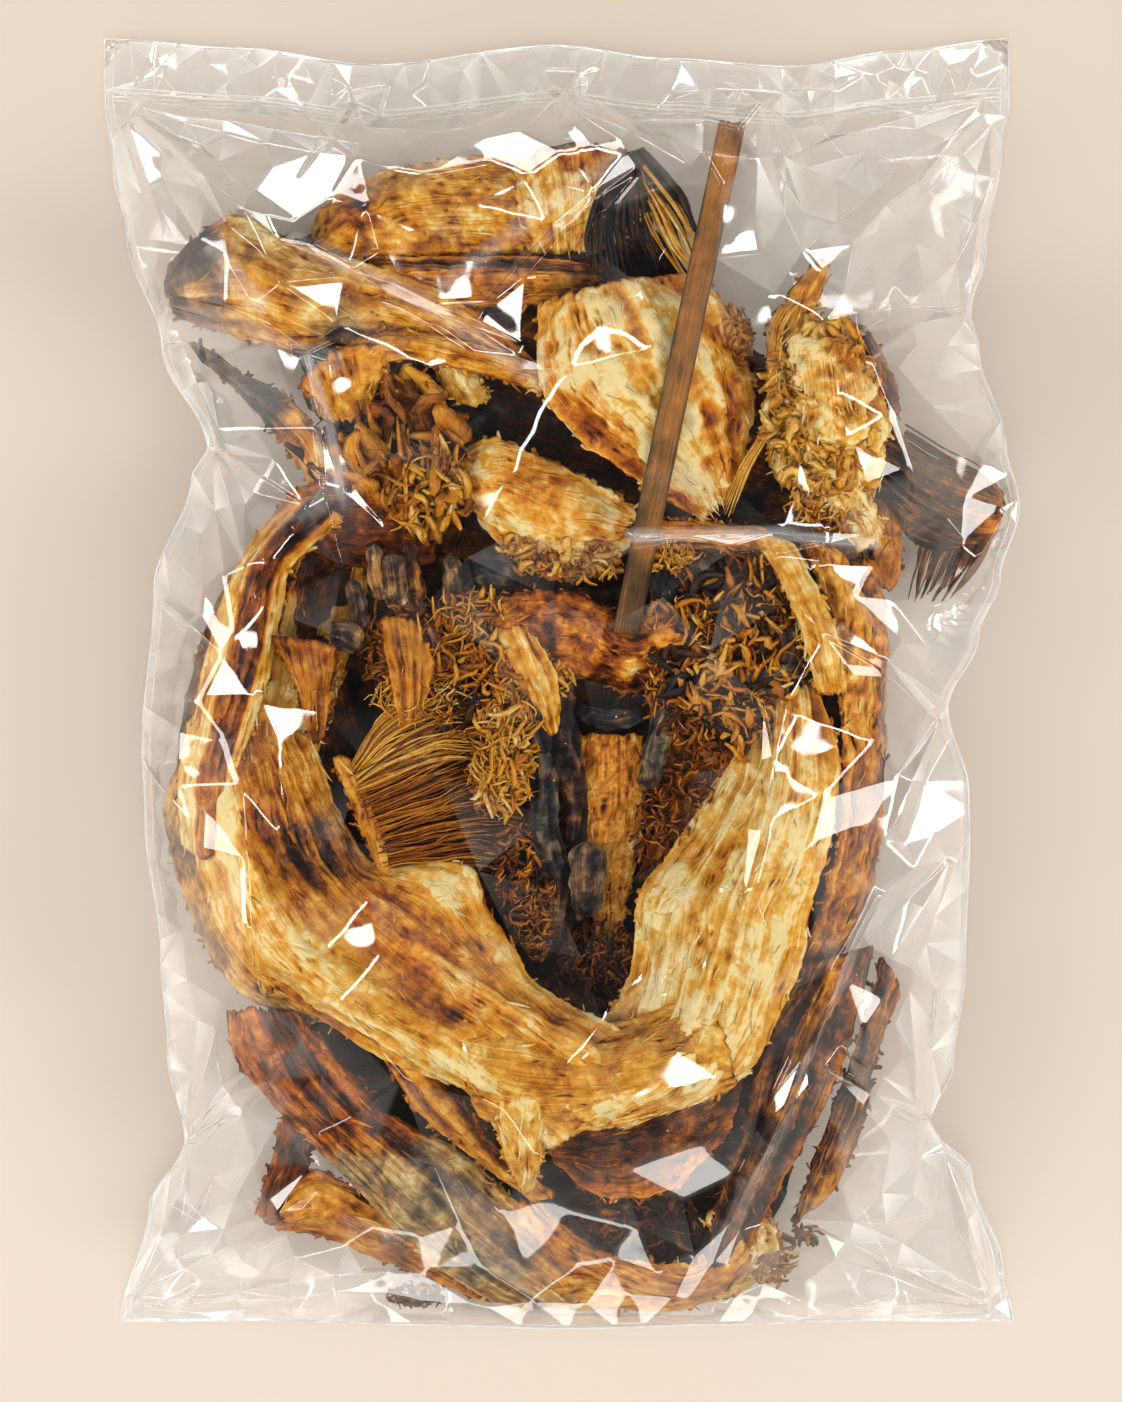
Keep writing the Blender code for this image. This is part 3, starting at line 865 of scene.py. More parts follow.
@dataclass(frozen=True)
class FilmFinish:
    """Crisp clear film: see-through, with a hard gloss that grows at a slant, and milky at creases.

    The tone of the mesh says how milky the film is, as a share; on the pale facets that milkiness is partly
    painted highlight.
    """

    name: str
    gloss: float = 2.1
    most: float = 0.36
    rough: float = 0.05

    def made(self) -> bpy.types.Material:
        """Builds the material."""
        material, tree = new_material(self.name)
        clear = node(tree, "ShaderNodeBsdfTransparent", {"Color": (1, 1, 1, 1)})
        shiny = node(tree, "ShaderNodeBsdfGlossy", {"Color": (1, 1, 1, 1), "Roughness": self.rough})
        milky = node(tree, "ShaderNodeBsdfDiffuse", {"Color": (1.0, 0.985, 0.96, 1)})
        slant = node(tree, "ShaderNodeFresnel", {"IOR": 1.5}).outputs[0]
        share = maths(tree, "MINIMUM", maths(tree, "MULTIPLY", slant, self.gloss), self.most)
        haze = node(tree, "ShaderNodeAttribute", attribute_name="tone").outputs["Fac"]
        body = node(tree, "ShaderNodeMixShader", {0: haze, 1: clear.outputs[0], 2: milky.outputs[0]})
        film = node(tree, "ShaderNodeMixShader", {0: share, 1: body.outputs[0], 2: shiny.outputs[0]})
        node(tree, "ShaderNodeOutputMaterial", {"Surface": film.outputs[0]})
        return material


@dataclass(frozen=True)
class SlatFinish:
    """Flat olive-brown bamboo with a fine long grain and a worn sheen."""

    name: str = "worn_bamboo"

    def made(self) -> bpy.types.Material:
        """Builds the material."""
        material, tree = new_material(self.name)
        grain = node(tree, "ShaderNodeAttribute", attribute_name="grain").outputs["Vector"]
        tone = node(tree, "ShaderNodeAttribute", attribute_name="tone").outputs["Fac"]
        laid = node(tree, "ShaderNodeMapping", {"Vector": grain, "Scale": (0.06, 1.7, 1.0)}).outputs[0]
        line = node(tree, "ShaderNodeTexNoise",
                    {"Vector": laid, "Scale": 1.0, "Detail": 6.0, "Roughness": 0.6})
        smear = node(tree, "ShaderNodeTexNoise", {"Vector": grain, "Scale": 0.12, "Detail": 3.0})
        value = maths(tree, "ADD", maths(tree, "MULTIPLY", line.outputs[0], 0.55),
                      maths(tree, "MULTIPLY", smear.outputs[0], 0.45))
        value = maths(tree, "ADD", value, maths(tree, "SUBTRACT", tone, 0.5), clamp=True)
        stops: Ramp = [(0.25, (0.035, 0.013, 0.002)), (0.40, (0.11, 0.052, 0.008)),
                       (0.54, (0.32, 0.115, 0.010)),
                       (0.68, (0.56, 0.205, 0.014)), (0.9, (0.84, 0.37, 0.045))]
        colour = ramped(tree, value, stops)
        bump = node(tree, "ShaderNodeBump",
                    {"Strength": 0.35, "Distance": 0.0006, "Height": line.outputs[0]})
        gloss = node(tree, "ShaderNodeMapRange",
                     {"Value": smear.outputs[0], "To Min": 0.32, "To Max": 0.6}).outputs[0]
        shader = node(tree, "ShaderNodeBsdfPrincipled",
                      {"Base Color": colour, "Roughness": gloss, "Normal": bump.outputs[0]})
        node(tree, "ShaderNodeOutputMaterial", {"Surface": shader.outputs[0]})
        return material


# ---------------------------------------------------------------- the split head


@dataclass
class SplitHead:
    """The split and dried cod head: two wings of ribbed flesh that meet at the chin, round a hollow."""

    finish: bpy.types.Material
    skin: bpy.types.Material

    def slabs(self) -> list[Slab]:
        """Slabs of the head, outermost first."""
        return [
            Slab("head_back", [
                [(-92, 64, 52), (-122, 20, 48), (-133, -40, 44), (-120, -92, 42), (-62, -128, 40),
                 (-24, -158, 44)],
                [(-60, 60, 22), (-84, 20, 11), (-90, -40, 9), (-80, -88, 11), (-45, -122, 20),
                 (-20, -148, 34)],
                [(0, 58, 16), (-4, 20, 9), (-4, -40, 9), (-4, -88, 9), (0, -122, 16), (2, -150, 32)],
                [(60, 58, 22), (80, 20, 11), (84, -40, 9), (72, -88, 11), (40, -122, 20), (22, -146, 34)],
                [(100, 54, 48), (110, 10, 48), (112, -40, 46), (98, -88, 44), (66, -128, 40),
                 (40, -148, 44)],
            ], Slot.SKIN, 5, (2.8, 2.6), tone=0.40, hue=-0.35, rag=2, wrinkle=(22, 2.0), seed=2),
            Slab("mouth_floor", [
                [(-91, 56, 56), (-101, 14, 52), (-91, -35, 48), (-56, -77, 42), (-28, -108, 50)],
                [(-56, 49, 42), (-56, 7, 32), (-45, -35, 28), (-24, -77, 28), (-7, -112, 46)],
                [(0, 32, 44), (0, 0, 30), (4, -38, 25), (7, -77, 27), (11, -115, 48)],
                [(49, 39, 44), (53, 0, 32), (42, -38, 28), (28, -77, 30), (21, -115, 50)],
                [(95, 42, 56), (102, 0, 52), (84, -42, 46), (56, -77, 44), (35, -112, 54)],
            ], Slot.GILL, 5, (1.7, 1.7), tone=0.13, hue=0.35, crumple=(7, 2.6), relief_painted_light=0.12, seed=3),
            Slab("left_outer_skin", [
                [(-131, -19, 48), (-139, -47, 50), (-134, -70, 50), (-124, -94, 48), (-113, -108, 46),
                 (-87, -119, 44)],
                [(-124, -21, 58), (-131, -49, 58), (-125, -74, 58), (-114, -95, 56), (-101, -108, 54),
                 (-80, -117, 52)],
                [(-115, -24, 62), (-118, -52, 62), (-111, -77, 62), (-101, -95, 60), (-88, -106, 58),
                 (-72, -113, 56)],
            ], Slot.SKIN, 4, rag=2.6, tone=0.47, hue=-0.45, crumple=(6, 1.0), bead=1.0,
                spots=[Spot(-113, -108, 16, 0.08, 0.2), Spot(-136, -60, 14, -0.16, -0.3)], seed=4),
            Slab("left_cover_strips", [
                [(-91, 68, 62), (-108, 47, 66), (-118, 28, 68), (-124, 7, 70), (-128, -14, 72),
                 (-134, -34, 70), (-133, -58, 68)],
                [(-83, 62, 72), (-101, 44, 76), (-108, 25, 78), (-113, 4, 79), (-118, -16, 81),
                 (-122, -36, 84), (-124, -62, 84)],
                [(-74, 56, 60), (-92, 39, 60), (-96, 21, 60), (-100, 0, 62), (-106, -18, 68),
                 (-112, -36, 76), (-117, -60, 80)],
            ], thick=3.5, steps=(1.2, 0.5), rag=0.8, tone=0.66, wrinkle=(14, 0.8), rays=(5.2, 1.05),
                across=[(0, -.1, 0), (.1, .06, 0), (.36, .14, 0), (.42, -.33, .6), (.76, -.38, .8),
                        (.82, .12, 0), (1, .1, 0)],
                along=[(0, -.1, .3), (.5, 0, 0), (.7, .04, 0), (1, .08, -.1)],
                spots=[Spot(-86, 63, 20, -0.14, 0.5), Spot(-112, -22, 9, -0.16)], seed=5),
            Slab("cheek_panel", [
                [(-90, 49, 56), (-95, 25, 54), (-100, 3, 56), (-106, -28, 62)],
                [(-80, 50, 50), (-84, 25, 45), (-88, 2, 47), (-96, -30, 57)],
                [(-66, 53, 50), (-67, 32, 44), (-74, 6, 45), (-84, -27, 54)],
            ], thick=3, tone=0.76, hue=0.1, wrinkle=(12, 1.8),
                along=[(0, -.28, .7), (.18, -.12, .4), (.3, .02, 0), (1, .05, 0)],
                spots=[Spot(-70, 18, 12, -0.3), Spot(-84, 8, 8, -0.15, 0.4), Spot(-88, -20, 13, 0.14)],
                seed=6),
            Slab("upper_red_lobe", [
                [(-94, 65, 66), (-77, 70, 66), (-56, 70, 60), (-42, 60, 54)],
                [(-90, 54, 60), (-75, 53, 58), (-57, 52, 52), (-42, 50, 48)],
                [(-86, 44, 54), (-74, 40, 50), (-57, 37, 46), (-42, 41, 44)],
            ], thick=3, tone=0.33, hue=1.1, wrinkle=(13, 2.2), bead=1.2,
            across=[(0, .22, 0), (.12, 0, 0), (1, -.05, 0)],
                spots=[Spot(-62, 50, 14, 0.1), Spot(-84, 60, 12, -0.08)], seed=7),
            Slab("left_wing", [
                [(-130, -14, 60), (-130, -42, 64), (-126, -66, 66), (-114, -94, 66), (-91, -112, 64),
                 (-57, -133, 62),
                 (-33, -141, 64), (-14, -168, 62)],
                [(-121, -8, 74), (-118, -42, 82), (-110, -66, 84), (-94, -94, 84), (-66, -115, 82),
                 (-42, -128, 82),
                 (-21, -143, 82), (0, -160, 76)],
                [(-110, -2, 64), (-99, -49, 72), (-91, -66, 70), (-73, -87, 72), (-49, -107, 76),
                 (-24, -122, 80),
                 (-5, -136, 84), (14, -148, 82)],
                [(-98, -12, 58), (-80, -57, 64), (-66, -73, 66), (-49, -87, 70), (-28, -103, 76),
                 (-10, -115, 80),
                 (7, -127, 84), (28, -139, 84)],
                [(-86, -20, 54), (-66, -63, 54), (-33, -63, 57), (-24, -79, 60), (-15, -93, 62),
                 (-8, -105, 63),
                 (11, -115, 70), (35, -126, 78)],
            ], thick=3.2, steps=(1.3, 0.62), rag=1.6, tone=0.645, hue=0.12, wrinkle=(17, 2.4),
            rays=(9.0, 1.4),
                bead=0.9, crinkle=1.0,
                across=[(0, -.02, 0), (.12, .12, -.1), (.3, .16, -.1), (.42, -.08, .25), (.52, -.16, .2),
                        (.62, -.02, .4), (.8, .03, .35), (1, .1, .1)],
                spots=[Spot(-82, -58, 20, -0.34, -0.6), Spot(-112, -28, 10, -0.2),
                       Spot(-120, -44, 14, 0.16),
                       Spot(-100, -84, 12, 0.04, 0.6), Spot(-30, -72, 14, 0.06, 0.1),
                       Spot(-62, -85, 16, -0.12, 0.6),
                       Spot(-46, -96, 14, -0.1, 0.6), Spot(-104, -58, 10, -0.1, 0.5),
                       Spot(-16, -104, 12, 0.02, -0.2)],
                seed=8),
            Slab("right_wing", [
                [(65, -3, 50), (56, -31, 52), (39, -59, 54), (28, -72, 56), (26, -91, 56), (22, -108, 60),
                 (9, -121, 68),
                 (-14, -134, 78)],
                [(72, -7, 60), (68, -35, 66), (55, -59, 68), (46, -77, 72), (42, -98, 74), (37, -117, 78),
                 (25, -133, 82),
                 (0, -146, 83)],
                [(81, -3, 68), (81, -31, 78), (74, -59, 83), (65, -80, 85), (60, -101, 85), (53, -122, 85),
                 (42, -139, 83),
                 (14, -154, 80)],
                [(90, 0, 62), (97, -28, 70), (94, -56, 72), (87, -80, 72), (84, -98, 70), (76, -117, 68),
                 (63, -138, 66),
                 (28, -154, 70)],
            ], thick=3.2, steps=(1.3, 0.62), rag=1.5, tone=0.75, hue=-0.06, wrinkle=(18, 2.0),
            rays=(6.4, 1.7),
                bead=0.9, crinkle=0.7,
                across=[(0, -.08, .3), (.12, .04, 0), (.3, .1, -.1), (.5, .06, .05), (.8, .1, -.05),
                        (1, -.05, .2)],
                along=[(0, -.2, .3), (.14, -.05, .2), (.3, .02, 0), (1, 0, 0)],
                spots=[Spot(50, -62, 12, -0.16, 0.4), Spot(72, -95, 16, 0.06),
                       Spot(44, -128, 14, -0.05, 0.2)], seed=9),
            Slab("chin", [
                [(-31, -106, 73), (-10, -111, 71), (9, -118, 71), (28, -115, 73), (49, -106, 79)],
                [(-35, -129, 82), (-14, -133, 87), (11, -135, 88), (32, -130, 88), (57, -123, 86)],
                [(-28, -151, 73), (-7, -158, 77), (11, -156, 77), (35, -150, 76), (62, -141, 70)],
            ], thick=3.2, steps=(0.9, 0.7), rag=1.4, tone=0.69, hue=-0.05, wrinkle=(12, 1.6), fibre=0.45,
            bead=0.7,
                spots=[Spot(-2, -135, 18, -0.05, 0.1), Spot(20, -148, 12, 0.1), Spot(-28, -120, 10, 0.08)],
                seed=10),
            Slab("chin_knuckle", [
                [(-22, -145, 80), (-20, -164, 72), (-13, -178, 60)],
                [(-12, -143, 86), (-11, -163, 80), (-11, -179, 64)],
                [(-1, -143, 82), (-4, -162, 74), (-9, -178, 60)],
            ], thick=5, steps=(0.8, 0.6), rag=1.2, tone=0.80, hue=-0.15, wrinkle=(8, 2.2), seed=11),
            Slab("throat_flap", [
                [(-5, -158, 70), (14, -151, 72), (35, -146, 72), (64, -137, 66)],
                [(-4, -163, 68), (14, -163, 75), (37, -158, 75), (63, -144, 66)],
                [(-2, -167, 60), (14, -179, 60), (39, -177, 60), (60, -156, 58)],
            ], Slot.SKIN, 4, rag=2, tone=0.30, hue=0.3, wrinkle=(10, 2.2), bead=1.0,
                across=[(0, .06, 0), (.3, -.05, -.3), (.75, 0, .2), (1, .3, .4)], seed=12),
            Slab("right_top_strip", [
                [(66, 49, 70), (76, 34, 74), (84, 14, 74), (89, -5, 70)],
                [(74, 50, 76), (83, 33, 80), (91, 14, 80), (95, -5, 74)],
                [(81, 47, 72), (90, 31, 75), (97, 14, 75), (100, -4, 70)],
            ], thick=3, tone=0.70, hue=0.0, rays=(3.4, 1.05), rag=1.4, seed=13),
            Slab("right_lobe", [
                [(82, 50, 68), (92, 28, 70), (97, 7, 68), (99, -17, 66)],
                [(94, 46, 70), (101, 24, 72), (104, 2, 70), (103, -22, 68)],
                [(100, 42, 62), (108, 20, 62), (109, -3, 62), (106, -28, 60)],
            ], thick=3, tone=0.50, hue=0.3, crumple=(8, 2.0), rag=2.4, bead=1, seed=14),
            Slab("right_inner_strip", [
                [(97, -3, 66), (99, -28, 67), (97, -56, 67), (90, -80, 63), (84, -98, 58)],
                [(106, -7, 60), (106, -35, 60), (104, -59, 60), (98, -84, 58), (91, -101, 54)],
            ], thick=4, tone=0.41, hue=0.4, rays=(4, 1.35), rag=1.8, seed=15),
            Slab("right_edge_strip", [
                [(101, 42, 58), (107, 14, 58), (105, -21, 60), (100, -52, 61), (93, -77, 59),
                 (86, -98, 55)],
                [(107, 42, 60), (112, 14, 62), (110, -21, 64), (108, -52, 62), (102, -76, 60),
                 (93, -97, 56)],
                [(110, 40, 48), (114, 14, 48), (113, -21, 48), (112, -52, 48), (108, -73, 48),
                 (98, -95, 46)],
            ], Slot.SKIN, 5, rag=2.6, tone=0.33, hue=0.45, crumple=(7, 2.0), bead=1, seed=16),
            Slab("right_olive_skin", [
                [(84, 56, 58), (90, 42, 60), (96, 28, 58)], [(98, 54, 60), (105, 40, 58), (108, 26, 54)],
                [(108, 52, 50), (112, 38, 48), (113, 22, 46)],
            ], Slot.SKIN, 4, tone=0.36, hue=-0.55, rag=1.8, seed=17),
            Slab("dark_ridge", [
                [(-31, 27, 54), (-14, 31, 61), (7, 30, 63), (25, 22, 61), (42, 31, 59), (54, 31, 55)],
                [(-28, 18, 60), (-12, 16, 67), (7, 15, 69), (25, 9, 67), (42, 16, 65), (53, 20, 58)],
                [(-24, 9, 50), (-10, -3, 52), (7, 0, 54), (25, -5, 52), (42, 3, 52), (50, 11, 50)],
            ], Slot.GILL, 5, (0.8, 0.8), rag=2, tone=0.35, hue=1.0, wrinkle=(9, 3.2), crumple=(6, 1.4),
            bead=1,
                spots=[Spot(-5, 14, 8, -0.2, -0.5), Spot(14, 2, 8, -0.2, -0.5),
                       Spot(25, 4, 5, 0.35, -0.6)], seed=18),
            Slab("rough_plate", [
                [(5, -19, 50), (4, -42, 45), (5, -63, 41), (14, -92, 37)],
                [(17, -19, 53), (17, -42, 49), (15, -64, 45), (17, -92, 40)],
                [(30, -19, 50), (30, -42, 46), (26, -66, 43), (21, -93, 38)],
            ], thick=3, steps=(0.7, 0.6), tone=0.50, hue=0.6, crumple=(1.8, 0.6), wrinkle=(12, 1), seed=19),
            Slab("pale_tuft_leaf", [
                [(-22, 16, 64), (-14, -3, 63), (-5, -20, 58)], [(-15, 19, 70), (-7, -1, 69), (-2, -19, 61)],
                [(-9, 19, 66), (0, 0, 64), (1, -16, 57)],
            ], thick=2.4, steps=(0.9, 0.45), tone=0.70, hue=0.15, rays=(2.6, 0.9), seed=20),
        ]

    def build(self) -> list[bpy.types.Object]:
        """Builds every slab of the head."""
        return slabs_made(self.slabs(), self.finish, self.skin)


@dataclass
class Gills:
    """What fills the hollow of the head: gill combs, torn fringes, stalks, knobs and crumbs."""

    finish: bpy.types.Material
    stalk_finish: bpy.types.Material

    def combs(self) -> Shell:
        """Combs of fine threads that spring from the left arch."""
        lower = Strands([(-73, -32, 60), (-56, -23, 63), (-38, -12, 61), (-21, -3, 56)],
                        [(-60, -67, 57), (-45, -65, 57), (-28, -64, 52), (-14, -66, 46)],
                        105, (0.45, 0.85), stray=2.8, layers=3, tone=(0.28, 0.58), hue=(0.3, 0.9), seed=31)
        upper = Strands([(-72, -30, 60), (-63, -14, 63), (-46, -3, 63), (-30, 0, 58)],
                        [(-70, -38, 60), (-53, -32, 64), (-36, -28, 60), (-19, -31, 53)],
                        90, (0.5, 1.1), stray=2.6, layers=2.5, tone=(0.45, 0.78), hue=(-0.2, 0.35), seed=32)
        deep = Strands([(-70, -36, 52), (-50, -30, 52), (-34, -28, 48), (-16, -22, 46)],
                       [(-58, -66, 50), (-46, -70, 48), (-28, -72, 45), (-12, -74, 42)],
                       80, (0.8, 1.6), stray=2.6, layers=3, tone=(0.06, 0.26), hue=(0.2, 0.7), seed=33)
        return Shell.joined([lower.shell(), upper.shell(), deep.shell()])

    def fringes(self) -> Shell:
        """Torn golden and brown fringes of the left gill."""
        groups = [
            Shreds((-18, -20, 63), (10, 26, 7), 330, (5, 13), (1.0, 2.6), 0.28, 255, 55, curl=1.3,
                   tone=(0.52, 0.86),
                   hue=(0.2, 0.8), turn=-8, seed=41),
            Shreds((-31, 14, 63), (19, 16, 6), 230, (6, 14), (1.0, 2.8), 0.3, 80, 55, curl=1.2,
                   tone=(0.30, 0.78),
                   hue=(0.1, 0.6), seed=42),
            Shreds((-51, 11, 62), (16, 16, 6), 170, (7, 15), (1.0, 3.2), 0.3, 70, 50, curl=1.1,
                   tone=(0.16, 0.52),
                   hue=(0.0, 0.6), seed=43),
            Shreds((-48, -6, 64), (16, 8, 4), 110, (6, 13), (0.5, 1.2), 0.4, 150, 60, tone=(0.45, 0.85),
                   hue=(-0.2, 0.3), seed=44),
            Shreds((-12, -72, 52), (10, 26, 5), 260, (3, 7), (0.8, 2.2), 0.5, 90, 90, tone=(0.12, 0.58),
                   hue=(0.2, 0.7), turn=12, seed=45),
            Shreds((-34, 6, 60), (30, 22, 6), 90, (8, 18), (2.0, 5.0), 0.3, 80, 60, curl=0.9,
                   tone=(0.04, 0.24),
                   hue=(-1.0, -0.2), seed=47),
            Shreds((-8, 0, 60), (12, 14, 5), 120, (6, 13), (1.0, 2.4), 0.3, 100, 60, curl=1.2,
                   tone=(0.5, 0.84),
                   hue=(0.1, 0.5), seed=48),
            Shreds((-22, -34, 58), (9, 14, 4), 120, (4, 9), (0.5, 1.2), 0.4, 200, 60, tone=(0.3, 0.65),
                   hue=(0.1, 0.5), seed=46),
        ]
        return Shell.joined([group.shell() for group in groups])

    def right_shreds(self) -> Shell:
        """Dark and orange shreds of the right gill, and the crumbs below it."""
        groups = [
            Shreds((57, 10, 62), (27, 34, 9), 760, (5, 15), (0.9, 2.8), 0.28, 95, 42, curl=1.2,
                   tone=(0.18, 0.76),
                   hue=(0.1, 0.75), turn=-10, seed=51),
            Shreds((60, 10, 66), (26, 34, 8), 80, (8, 18), (1.8, 4.4), 0.22, 60, 70, curl=1.0,
                   tone=(0.03, 0.2),
                   hue=(-1.0, 0.2), turn=-10, seed=55),
            Shreds((66, 8, 68), (22, 34, 7), 120, (7, 15), (1.6, 3.6), 0.22, 95, 50, curl=1.3,
                   tone=(0.42, 0.80),
                   hue=(0.2, 0.7), turn=-10, seed=56),
            Shreds((44, -44, 54), (14, 26, 5), 300, (3, 9), (0.6, 2.0), 0.4, 60, 60, tone=(0.12, 0.52),
                   hue=(0.1, 0.7), turn=-32, seed=52),
            Shreds((15, -98, 46), (15, 14, 5), 260, (3, 8), (0.8, 2.6), 0.5, 90, 50, tone=(0.06, 0.42),
                   hue=(0.2, 0.8), seed=53),
            Shreds((40, 42, 62), (9, 5, 3), 60, (5, 11), (0.7, 1.8), 0.4, 60, 70, tone=(0.55, 0.8),
                   hue=(0.0, 0.3), seed=54),
        ]
        return Shell.joined([group.shell() for group in groups])

    def bed(self) -> Slab:
        """Lumpy bed under the right shreds."""
        return Slab("right_gill_bed", [
            [(31, 32, 48), (31, -7, 44), (35, -38, 42), (26, -70, 38)],
            [(60, 45, 57), (58, -3, 55), (49, -42, 50), (34, -72, 42)],
            [(82, 42, 56), (85, 2, 56), (64, -34, 52), (42, -66, 46)],
        ], Slot.GILL, 6, (1.0, 1.0), tone=0.24, hue=0.6, crumple=(6, 3.6), relief_painted_light=0.3, seed=21)

    def frills(self) -> list[Slab]:
        """Pleated fans that stand at the left of the gills, and the arch that the comb springs from."""
        return [
            Slab("dark_frill", [
                [(-86, -22, 60), (-91, -3, 64), (-99, 15, 67)],
                [(-84, -22, 62), (-85, -2, 68), (-88, 14, 71)],
                [(-81, -20, 60), (-78, 0, 65), (-75, 13, 68)],
            ], Slot.GILL, 2.4, (0.9, 0.45), tone=0.33, hue=0.15, rays=(1.7, 1.2), rag=1.4, seed=22),
            Slab("pleated_frill", [
                [(-56, -16, 62), (-60, 4, 66), (-64, 20, 64)],
                [(-52, -16, 64), (-52, 4, 70), (-54, 22, 67)],
                [(-48, -15, 62), (-43, 3, 66), (-44, 18, 64)],
            ], Slot.GILL, 2.4, (0.9, 0.45), tone=0.40, hue=0.2, rays=(1.8, 1.2), rag=1.6, seed=23),
            Slab("comb_arch", [
                [(-79, -27, 60), (-69, -52, 58), (-62, -69, 56)],
                [(-75, -26, 63), (-65, -51, 61), (-60, -68, 58)],
                [(-71, -27, 60), (-62, -50, 58), (-58, -67, 56)],
            ], Slot.FLESH, 3, (0.9, 0.5), tone=0.62, hue=0.25, rag=0.6, seed=24),
        ]

    def stalks(self) -> list[tuple[str, list[Stalk]]]:
        """Arches, rods and knobs, grouped by piece."""
        return [
            ("gill_rods", [
                Stalk([(-12, -6, 56), (-6, -28, 54), (-5, -52, 51), (-1, -70, 48), (-4, -89, 45),
                       (-8, -99, 40)],
                      [4, 5, 5, 5.8, 4.6, 3], 0.30, -0.8, grooves=1.4, seed=61),
                Stalk([(0, 2, 58), (1, -21, 54), (6, -42, 48), (5, -66, 44), (6, -88, 40)],
                      [5, 6.5, 4, 3.6, 3], 0.2, -0.5, grooves=1.0, seed=62),
                Stalk([(10, -56, 55), (10, -70, 52), (9, -82, 46)], [6.4, 6.4, 4.6], 0.40, -0.95,
                      end_tone=0.25, seed=63),
                Stalk([(40, -3, 57), (34, -22, 55), (31, -39, 50)], [5.4, 4.2, 4.2], 0.42, -0.9,
                      grooves=0.8, seed=64),
                Stalk([(-4, 6, 62), (-9, -10, 60), (-5, -26, 56)], [5, 5.5, 4], 0.22, -0.9, seed=65),
                Stalk([(58, -6, 64), (70, 0, 66), (84, 6, 64)], [3, 4.5, 3], 0.42, -1.0, lumps=1.4,
                      seed=66),
            ]),
            ("grey_knobs", [
                Stalk([(-64, 47, 68), (-63, 38, 66), (-61, 28, 60)], [2.2, 3.4, 3.4], 0.46, -0.7, seed=71),
                Stalk([(-58, 44, 66), (-57, 36, 66), (-56, 25, 58)], [5.2, 4.4, 3.4], 0.36, -0.8, seed=72),
                Stalk([(-72, 35, 66), (-70, 28, 64), (-68, 14, 58)], [2.4, 2.8, 4.4], 0.30, -0.8, seed=73),
                Stalk([(-53, 48, 62), (-51, 38, 62), (-49, 26, 58)], [3.2, 3.6, 3.4], 0.30, -0.4, seed=74),
                Stalk([(-38, 44, 66), (-37, 36, 64), (-36, 26, 58)], [2.6, 3.8, 4.2], 0.30, -0.8, seed=75),
                Stalk([(-30, 36, 58), (-23, 38, 61), (-15, 35, 58)], [6, 7.4, 6], 0.27, -1.0, lumps=2.6,
                      flat=0.7, seed=76),
                Stalk([(-79, 16, 66), (-74, 15, 68), (-69, 11, 64)], [4.4, 5, 4], 0.28, -0.8, grooves=1.2,
                      seed=77),
                Stalk([(-47, 22, 64), (-44, 12, 64), (-41, 2, 60)], [3.4, 3.8, 3], 0.30, -0.4, seed=78),
                Stalk([(33, 38, 60), (38, 31, 62), (37, 22, 58)], [4, 5.4, 4], 0.14, -0.9, lumps=2.6,
                      seed=79),
                Stalk([(44, 36, 62), (53, 41, 63)], [3, 3.4], 0.26, -0.9, lumps=2.2, seed=80),
                Stalk([(78, 20, 64), (80, 8, 66), (74, 2, 62)], [3.4, 4.6, 4], 0.32, -0.9, seed=81),
                Stalk([(6, -10, 56), (16, -13, 57), (30, -11, 55)], [3, 4.2, 3], 0.12, -0.9, lumps=2.4,
                      seed=82),
            ]),
        ]

    def build(self) -> list[bpy.types.Object]:
        """Builds the whole filling of the hollow."""
        pieces = [
            self.combs().made("gill_combs", self.finish, Slot.GILL),
            self.fringes().made("gill_fringes", self.finish, Slot.FLESH),
            self.right_shreds().made("right_gill_shreds", self.finish, Slot.GILL),
        ]
        for slab in [self.bed(), *self.frills()]:
            pieces.append(slab.shell().made(slab.name, self.finish, slab.slot))
        for name, group in self.stalks():
            joined = Shell.joined([stalk.shell() for stalk in group])
            pieces.append(joined.made(name, self.stalk_finish, Slot.STALK))
        return pieces


# ---------------------------------------------------------------- pieces above the head


